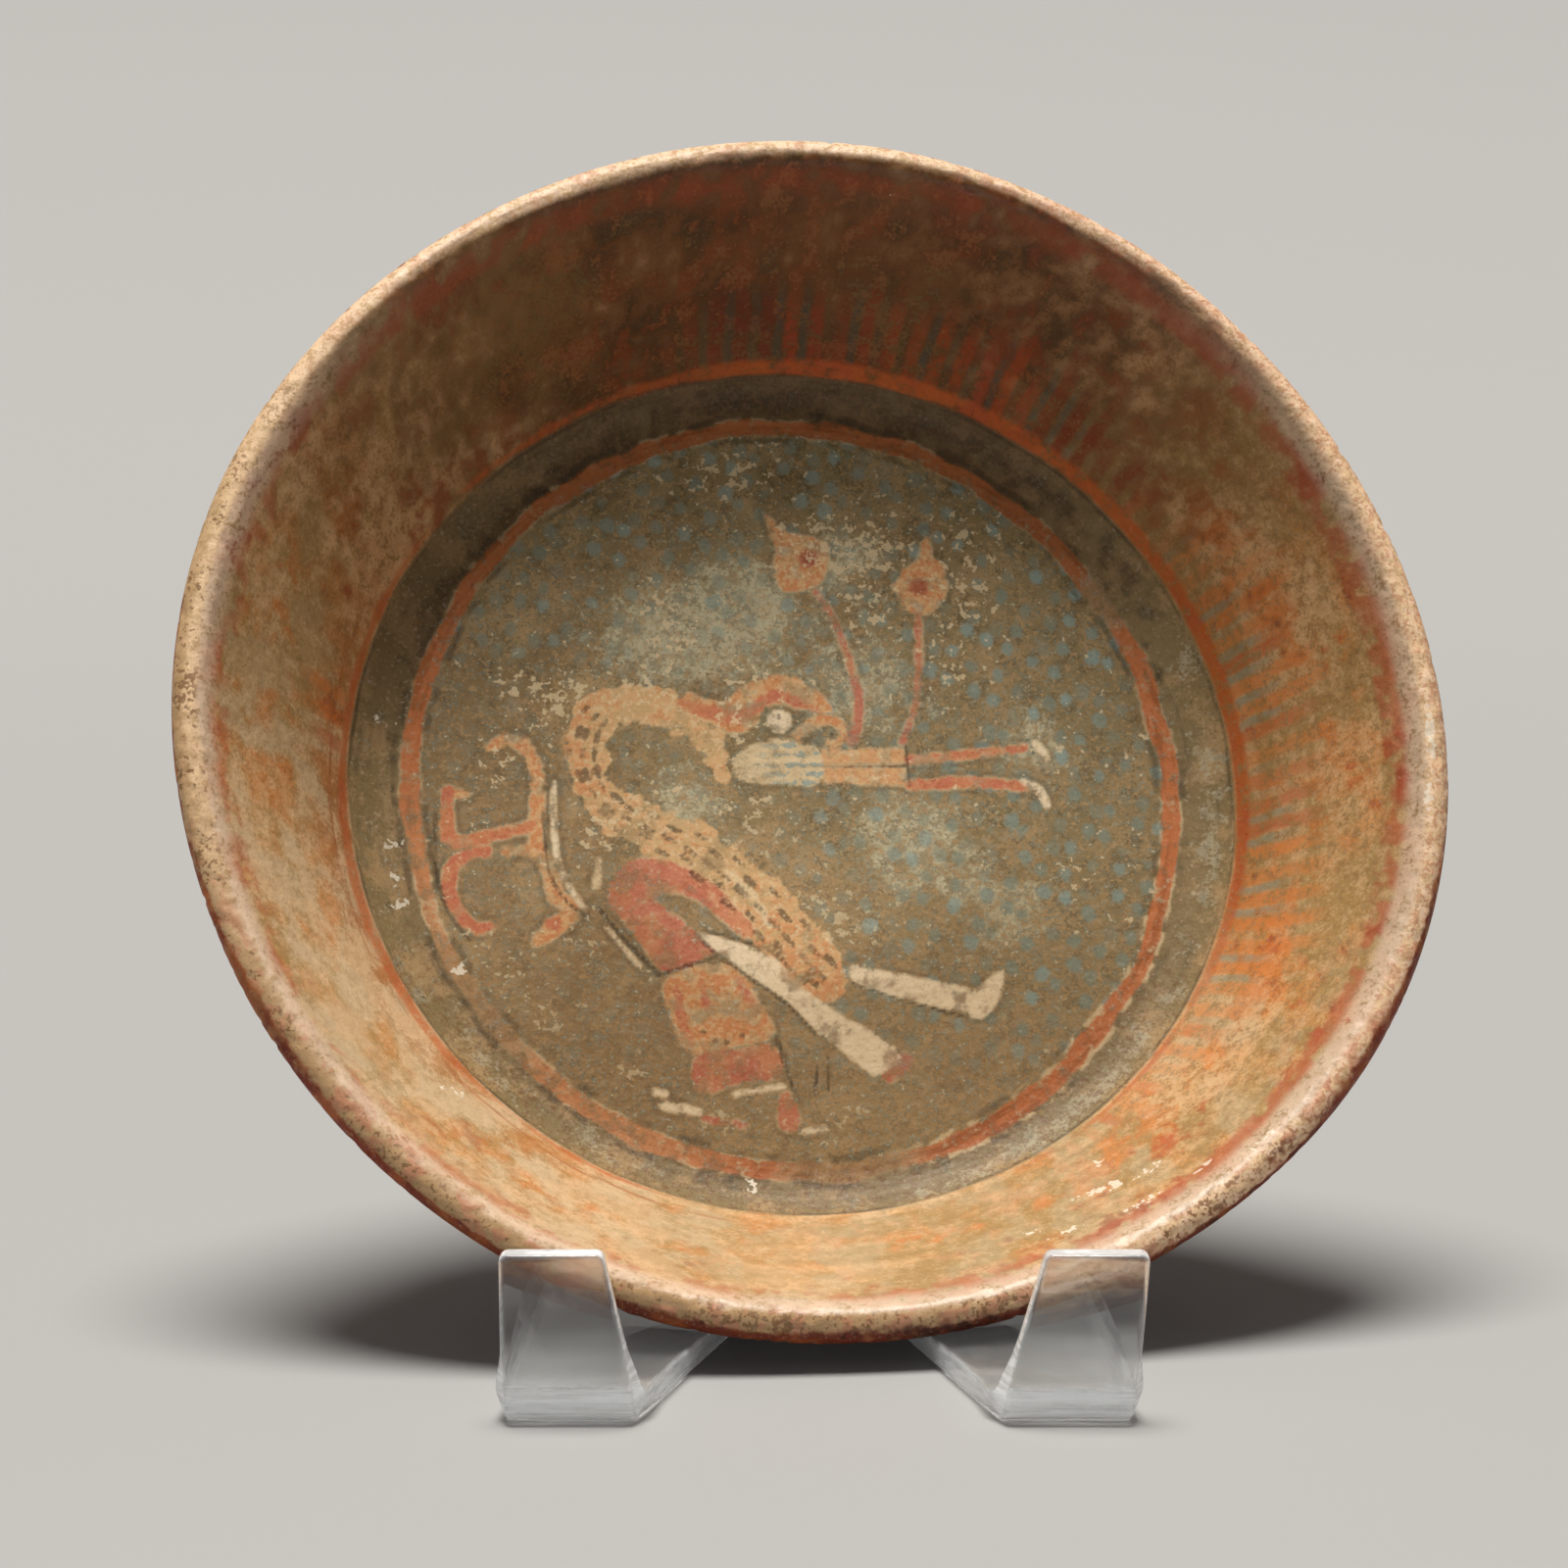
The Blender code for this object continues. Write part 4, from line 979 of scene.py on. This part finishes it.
def floorColor(look):
    # the floor with its figures and its ring, and the cove round it
    ground = figureColor(look, groundColor(look))
    flakes = smooth(look.flake + look.crumbs * 0.13 + (look.fine - 0.5) * 0.25, 0.67, 0.72)
    ground = mixed(ground, "cream", flakes * (0.66 - look.low * 0.20))
    color = mixed(creaseLine(look, coveColor(look)), ground, smooth(look.along, *zones["ground"]))
    # painted shade: the floor and the cove are darkened towards the bottom
    lowShadeShare = look.low * band(look.along, *zones["lowShade"]) * 0.70
    return mixed(ringColor(look, color), "lowShade", lowShadeShare, "MULTIPLY")


def firedClay(bowlPlace):
    made, wire, shader = newMaterial("fired_clay")
    look = lookOver(wire, bowlPlace)
    # the wall and the rim have shaders of their own, so that each part's paint is worked out only there
    wall, rim = [made.node_tree.nodes.new("ShaderNodeBsdfPrincipled") for _ in range(2)]
    wallPaint = creaseLine(look, footLine(look, strokes(look, wallColor(look))))
    rimPaint, pits = lipColor(look)
    slipFrom = zones["outside"] - sector(look, -90, 75, 20) * 3.4
    outer = look.along + (look.sweep - 0.5) * 9 + (look.small - 0.5) * 5 - slipFrom
    rimPaint = mixed(rimPaint, outsideColor(look), smooth(outer, -1.0, 1.4))
    roughness = clay["roughness"] + (look.streaks - 0.5) * 0.30 + (look.small - 0.5) * 0.25
    coat = band(look.along, *clay["coat"]) * (1 - look.high * 0.7) * 0.42
    bumped = wire.node("ShaderNodeBump", None, {
        "Height": look.small, "Strength": clay["bumpStrength"], "Distance": clay["bumpDepth"]}, "Normal")
    for part, color, rough in (
            (shader, floorColor(look), roughness),
            (wall, underLip(look, wallPaint), roughness - smooth(look.along, 102, 110) * 0.10),
            (rim, rimPaint, roughness - smooth(look.along, 167, 159) * 0.10 + pits * 0.2)):
        connect(part, "Base Color", specked(look, color))
        connect(part, "Roughness", rough)
        connect(part, "Normal", bumped)
        part.inputs["Specular IOR Level"].default_value = clay["specular"]
        part.inputs["Coat Roughness"].default_value = clay["coatRoughness"]
        if part != shader:
            connect(part, "Coat Weight", coat)
    toWall = smooth(look.along, *zones["wall"])
    toRim = smooth(look.along + look.lipWave * 0.6 - look.top * 1.5, *zones["rim"])
    layered(made, shader, (toWall, wall), (toRim, rim))
    return made


def bowlRotation():
    return Euler((math.radians(90 - bowl["lean"]), 0, math.radians(bowl["turn"]))).to_matrix()


def boxOf(mesh):
    corners = np.array([v.co for v in mesh.vertices])
    return Vector(corners.min(0)), Vector(corners.max(0))


def makeBowl():
    print("bowl")
    shaped = makeBowlMesh()
    mesh = bpy.data.meshes.new("bowl_clay")
    shaped.to_mesh(mesh)
    shaped.free()
    paintBowl(mesh)
    mesh.transform(bowlRotation().to_4x4() @ Matrix.Scale(0.001 * bowl["fit"], 4))
    low, high = boxOf(mesh)
    cadLow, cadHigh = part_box("bowl")
    bowlPlace = (cadLow + cadHigh) / 2 - (low + high) / 2
    mesh.transform(Matrix.Translation(bowlPlace))
    mesh.shade_smooth()
    print("bowl triangles", sum(len(p.vertices) - 2 for p in mesh.polygons), "at", bowlPlace)
    return addPiece("bowl_clay", mesh, firedClay(bowlPlace), "root", "fired_clay", "bowl")


class SheetPath:
    # the sheet's middle surface from the side, in mm, from the lips' ends to the rear foot

    def __init__(self, armLength):
        half = easel["thickness"] / 2
        plateRise = math.radians(90 - bowl["lean"])
        legFall = math.radians(90 - easel["legLean"])
        self.stretches = []
        self.point, self.heading, self.length = Vector((half, easel["lipHeight"])), -math.pi / 2, 0.0
        self.run(easel["lipHeight"] - easel["innerBend"] - easel["thickness"])
        self.lipsTo = self.length
        self.bend(easel["innerBend"] + half, math.pi / 2)
        self.armsFrom = self.length
        self.run(armLength)
        self.bend(easel["footBend"] + half, plateRise)
        self.run(easel["plateLength"])
        self.bend(easel["topBend"] + half, -plateRise - legFall)
        self.run(self.point.y / math.cos(math.radians(easel["legLean"])))

    def run(self, length):
        self.stretches.append((self.length, length, self.point.copy(), self.heading, 0.0))
        self.point += length * Vector((math.cos(self.heading), math.sin(self.heading)))
        self.length += length

    def bend(self, radius, turn):
        length = radius * abs(turn)
        self.stretches.append((self.length, length, self.point.copy(), self.heading, turn))
        self.length += length
        self.point, self.heading = self.at(self.length)

    def at(self, along):
        first = self.stretches[0]
        start, length, point, heading, turn = next(
            s for s in reversed(self.stretches) if s[0] <= along or s is first)
        run = along - start
        if turn == 0.0:
            return point + run * Vector((math.cos(heading), math.sin(heading))), heading
        swept, radius = turn * run / length, length / turn
        turned = heading + swept
        ahead = Vector((math.sin(turned) - math.sin(heading), math.cos(heading) - math.cos(turned)))
        return point + radius * ahead, turned

    def place(self, x, along, offset):
        point, heading = self.at(along)
        y, z = point + offset * Vector((-math.sin(heading), math.cos(heading)))
        if self.lipsTo < along < self.armsFrom:
            y, z = self.frontBend((along - self.lipsTo) / (self.armsFrom - self.lipsTo), offset)
        aside = max(0.0, self.armsFrom - along) * easel["lipsAside"] / easel["lipHeight"]
        return Vector((x + aside, y, z))

    def frontBend(self, share, offset):
        # a point in the bend below the lips, whose outer side is rounder than a plain bend's
        half, inner, outer = easel["thickness"] / 2, easel["innerBend"], easel["outerBend"]
        corner = inner + 2 * half
        ends, bow = corner - outer, outer * math.pi / 2
        run = share * (bow + 2 * ends) - ends
        turned = min(max(run / bow, 0), 1) * math.pi / 2
        outside = Vector((outer, outer)) - outer * Vector((math.cos(turned), math.sin(turned)))
        outside += Vector((max(run - bow, 0), max(-run, 0)))
        swung = share * math.pi / 2
        inside = Vector((corner, corner)) - inner * Vector((math.cos(swung), math.sin(swung)))
        return outside + (inside - outside) * (offset / half + 1) / 2

    def cuts(self):
        found = []
        for start, length, _, _, turn in self.stretches:
            if turn:
                steps = math.ceil(abs(turn) / math.radians(easel["bendStep"]))
                found += [start + length * i / steps for i in range(steps + 1)]
            else:
                found += [start + length * i / 8 for i in range(1, 8)]
        return found

    def swelling(self, along):
        # how much the sheet swells in a heated bend, from 0 to 1
        best = 0.0
        for start, length, _, _, turn in self.stretches:
            if turn:
                away = max(start - along, along - start - length, 0.0)
                swell = math.exp(-(away / easel["bulgeReach"] * 1.6) ** 2)
                best = max(best, swell if turn > 0 else -swell, key=abs)
        return best


def roundedCorner(corner, leaving, arriving, radius, steps=4):
    half = leaving.angle(arriving) / 2
    centre = corner + (leaving + arriving).normalized() * radius / math.sin(half)
    start, end = [(corner + way * radius / math.tan(half) - centre).normalized()
                  for way in (leaving, arriving)]
    return [centre + radius * start.slerp(end, i / steps) for i in range(steps + 1)]


def easelBlank(length):
    # the flat sheet with rounded edges, as (x, along, offset)
    taper, notchTaper = math.radians(easel["taper"]), math.radians(easel["notchTaper"])
    width = lambda along: easel["halfWidth"] - along * math.tan(taper)
    endRadius, notchWidth = easel["notchEndRadius"], easel["notchHalfWidth"]
    notchEnd = (notchWidth - endRadius / math.cos(notchTaper)) / math.tan(notchTaper)
    outward, corner = Vector((1, 0)), easel["cornerRadius"]
    side, notchSide = [Vector((-math.sin(turn), math.cos(turn))) for turn in (taper, notchTaper)]
    half = [Vector((0, length)), Vector((width(length), length))]
    half += roundedCorner(Vector((width(0), 0)), side, -outward, corner)
    half += roundedCorner(Vector((notchWidth, 0)), outward, notchSide, corner)
    half += [Vector(p) for p in arc((0, notchEnd), endRadius, notchTaper, math.pi / 2, 10)]
    sheet = bmesh.new()
    sheet.faces.new([sheet.verts.new((x, along, -easel["thickness"] / 2)) for x, along in half])
    bmesh.ops.mirror(sheet, geom=sheet.verts[:] + sheet.edges[:] + sheet.faces[:],
                     matrix=Matrix.Identity(4), merge_dist=1e-5, axis="X")
    bmesh.ops.recalc_face_normals(sheet, faces=sheet.faces)
    bmesh.ops.dissolve_faces(sheet, faces=sheet.faces[:])
    raised = bmesh.ops.extrude_face_region(sheet, geom=sheet.faces[:], use_keep_orig=True)["geom"]
    raised = [v for v in raised if isinstance(v, bmesh.types.BMVert)]
    bmesh.ops.translate(sheet, vec=(0, 0, easel["thickness"]), verts=raised)
    bmesh.ops.recalc_face_normals(sheet, faces=sheet.faces)
    rims = [e for e in sheet.edges if abs(e.verts[0].co.z - e.verts[1].co.z) < 1e-6 and e.is_manifold
            and abs(e.link_faces[0].normal.z - e.link_faces[1].normal.z) > 0.5
            and not all(v.co.y > length - 1e-4 for v in e.verts)]
    bmesh.ops.bevel(sheet, geom=rims, offset=easel["edgeRound"], offset_type="OFFSET", segments=3,
                    profile=0.5, affect="EDGES", material=-1, clamp_overlap=True)
    return sheet


def makeEaselMesh(path):
    sheet = easelBlank(path.length)
    for cut in path.cuts():
        bmesh.ops.bisect_plane(sheet, geom=sheet.verts[:] + sheet.edges[:] + sheet.faces[:],
                               dist=1e-5, plane_co=(0, cut, 0), plane_no=(0, 1, 0))
    edgeLayer = sheet.verts.layers.float.new("cutEdge")
    bendLayer = sheet.verts.layers.float.new("frontBend")
    taper, notchTaper = math.radians(easel["taper"]), math.radians(easel["notchTaper"])
    thick = easel["thickness"]
    for vert in sheet.verts:
        x, along, offset = vert.co
        outer = easel["halfWidth"] - along * math.tan(taper)
        notch = max(0.0, easel["notchHalfWidth"] - along * math.tan(notchTaper))
        vert[edgeLayer] = min(1.0, max(0.0, (thick / 2 - abs(offset)) / easel["edgeRound"]))
        inBend = weigh(along, path.lipsTo - 1.5, path.lipsTo + 0.5)
        inBend *= 1 - weigh(along, path.armsFrom - 1, path.armsFrom)
        vert[bendLayer] = inBend * (1 if offset < 0 else 0)
        inOut = 1 if abs(x) > (outer + notch) / 2 else -1
        bulge = easel["bendBulge"] if offset > 0 else easel["bendDraw"]
        swell = path.swelling(along) * bulge * (offset / (thick / 2)) * (1 if abs(x) > 1 else 0)
        vert.co = path.place(x + math.copysign(1, x) * inOut * swell, along, offset)
        if along > path.length - 1e-3:
            vert.co += vert.co.z * Vector((0, math.tan(math.radians(easel["legLean"])), -1))
    bmesh.ops.remove_doubles(sheet, verts=sheet.verts, dist=1e-4)
    bmesh.ops.recalc_face_normals(sheet, faces=sheet.faces)
    return sheet


acrylic = {
    "clear": {
        "Base Color": (0.965, 0.985, 0.985, 1), "Transmission Weight": 1.0, "IOR": 1.49, "Alpha": 0.5},
    # opaque and pale: the frost of the sawn edges, with painted glow there and painted highlights on the
    # bent front
    "frostAndGlow": {"Base Color": (0.92, 0.95, 0.97, 1), "Roughness": 0.25},
}


def clearAcrylic():
    # clear sheet; an opaque pale finish laid on its sawn edges and its hot-bent front gives the edges
    # their frost and a painted glow, and the bent front painted highlights in streaks
    made, wire, shader = newMaterial("clear_acrylic")
    here = wire.node("ShaderNodeTexCoord", out="Object")
    place = moved(here, (1000, 1000, 1000))
    edge = wire.node("ShaderNodeAttribute", {"attribute_name": "cutEdge"}, out="Fac")
    bend = wire.node("ShaderNodeAttribute", {"attribute_name": "frontBend"}, out="Fac")
    scuffs = smooth(grain(place, (0.7, 9, 9), 2, 0.7), 0.66, 0.78)
    layers = grain(place, (30, 6, 0.9), 3, 0.7)
    sawn = grain(place, (14, 14, 1.3), 3, 0.65, (4, 4, 4))
    frostAndGlow = made.node_tree.nodes.new("ShaderNodeBsdfPrincipled")
    for part, settings in ((shader, acrylic["clear"]), (frostAndGlow, acrylic["frostAndGlow"])):
        for name, value in settings.items():
            part.inputs[name].default_value = value
    connect(shader, "Roughness", 0.01 + scuffs * 0.03 + greater(edge, bend) * (0.04 + sawn * 0.12))
    # the edges' share is frost and painted glow, the bent front's is painted highlight
    edgeFrostAndGlow = edge * (0.54 + smooth(sawn, 0.42, 0.60) * 0.38)
    bendHighlight = bend * (0.34 + smooth(layers, 0.42, 0.60) * 0.36)
    layered(made, shader, (greater(edgeFrostAndGlow, bendHighlight), frostAndGlow))
    return made


def makeEasel():
    print("easel")
    cadLow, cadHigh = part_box("easel")
    depth = (cadHigh.y - cadLow.y) * 1000
    armLength, slope = easel["armGuess"], math.tan(math.radians(easel["legLean"]))
    for _ in range(4):      # the arms are as long as the solid's box says
        path = SheetPath(armLength)
        ends = [path.place(0, path.length - 0.01, side * easel["thickness"] / 2) for side in (-1, 1)]
        armLength += depth - max(end.y + end.z * slope for end in ends)
    shaped = makeEaselMesh(SheetPath(armLength))
    mesh = bpy.data.meshes.new("easel_sheet")
    shaped.to_mesh(mesh)
    shaped.free()
    mesh.transform(Matrix.Scale(0.001 * easel["fit"], 4))
    low, high = boxOf(mesh)
    aside, ahead = [(cadLow[i] + cadHigh[i] - low[i] - high[i]) / 2 for i in range(2)]
    lift = Vector((aside, ahead, cadLow.z - low.z))
    mesh.transform(Matrix.Translation(lift))
    mesh.shade_smooth()
    mesh.set_sharp_from_angle(angle=math.radians(easel["sharpFrom"]))
    print("easel triangles", sum(len(p.vertices) - 2 for p in mesh.polygons), "arms", round(armLength, 1))
    return addPiece("easel_sheet", mesh, clearAcrylic(), "root", "clear_acrylic", "easel")


studio = {
    "clearBounces": 12, "clayBounces": 2, "floorHalf": 4.0, "sweepFrom": 1.4, "sweepRadius": 2.0,
    "sweepTurn": 70.0, "underFeet": 0.0003, "floorColor": (0.36, 0.36, 0.355, 1),
    "floorRoughness": 0.7, "sensor": 36.0,
    "world": (0.84, 0.80, 0.75, 1), "worldStrength": 0.12,
    "camera": (-0.00743, -1.04265, 0.25634), "pitch": 7.70, "lens": 108.0,
    "sunFrom": (-0.04, 0.0, 1.0), "sunAngle": 30.0, "sunStrength": 4.5, "sunColor": (1.0, 0.965, 0.92),
    "lights": (     # name, place, aimed at, width, height, watts, colour
        ("fill", (-0.9, -1.4, 0.9), (0, 0, 0.12), 0.9, 0.9, 0.7, (1.0, 0.98, 0.95)),
        ("low", (0.0, -0.60, 0.10), (0, -0.11, 0.0), 0.5, 0.10, 0.35, (0.95, 0.98, 1.0)),
    ),
}


def addLight(name, kind, place, target):
    light = bpy.data.objects.new(name, bpy.data.lights.new(name, kind))
    light.location = place
    light.visible_camera = False
    light.rotation_euler = (Vector(target) - Vector(place)).to_track_quat("-Z", "Y").to_euler()
    bpy.context.scene.collection.objects.link(light)
    return light.data


def makeStudio():
    print("studio")
    # the floor, which sweeps up far behind
    half, radius = studio["floorHalf"], studio["sweepRadius"]
    sweep = bmesh.new()
    sweepEnd = math.radians(studio["sweepTurn"] - 90)
    profile = [(-half, 0.0)] + arc((studio["sweepFrom"], radius), radius, -math.pi / 2, sweepEnd, 24)
    points = [sweep.verts.new((-half, y, z - studio["underFeet"])) for y, z in profile]
    edges = [sweep.edges.new(pair) for pair in zip(points, points[1:])]
    made = bmesh.ops.extrude_edge_only(sweep, edges=edges)["geom"]
    made = [v for v in made if isinstance(v, bmesh.types.BMVert)]
    bmesh.ops.translate(sweep, vec=(2 * half, 0, 0), verts=made)
    bmesh.ops.recalc_face_normals(sweep, faces=sweep.faces)
    mesh = bpy.data.meshes.new("floor")
    sweep.to_mesh(mesh)
    sweep.free()
    mesh.shade_smooth()
    floor = bpy.data.objects.new("floor", mesh)
    bpy.context.scene.collection.objects.link(floor)
    made, wire, shader = newMaterial("floor")
    shader.inputs["Base Color"].default_value = studio["floorColor"]
    shader.inputs["Roughness"].default_value = studio["floorRoughness"]
    mesh.materials.append(made)
    sun = addLight("sun", "SUN", studio["sunFrom"], (0, 0, 0))
    sun.angle = math.radians(studio["sunAngle"])
    sun.energy, sun.color = studio["sunStrength"], studio["sunColor"]
    for name, place, target, width, height, watts, color in studio["lights"]:
        lamp = addLight(name, "AREA", place, target)
        lamp.shape, lamp.size, lamp.size_y = "RECTANGLE", width, height
        lamp.energy, lamp.color = watts, color
    scene = bpy.context.scene
    scene.view_settings.view_transform = "Standard"
    scene.cycles.max_bounces = studio["clearBounces"]        # light runs far inside the clear sheet
    scene.cycles.transmission_bounces = studio["clearBounces"]
    scene.cycles.diffuse_bounces = studio["clayBounces"]
    scene.cycles.glossy_bounces = studio["clayBounces"]
    world = bpy.data.worlds.new("world")
    world.use_nodes = True
    world.node_tree.nodes["Background"].inputs["Color"].default_value = studio["world"]
    world.node_tree.nodes["Background"].inputs["Strength"].default_value = studio["worldStrength"]
    scene.world = world
    camera = bpy.data.objects.new("camera", bpy.data.cameras.new("camera"))
    camera.data.lens = studio["lens"]
    camera.data.sensor_width = studio["sensor"]
    camera.location = studio["camera"]
    camera.rotation_euler = (math.radians(90 - studio["pitch"]), 0, 0)
    scene.collection.objects.link(camera)
    scene.camera = camera


makeBowl()
makeEasel()
makeStudio()
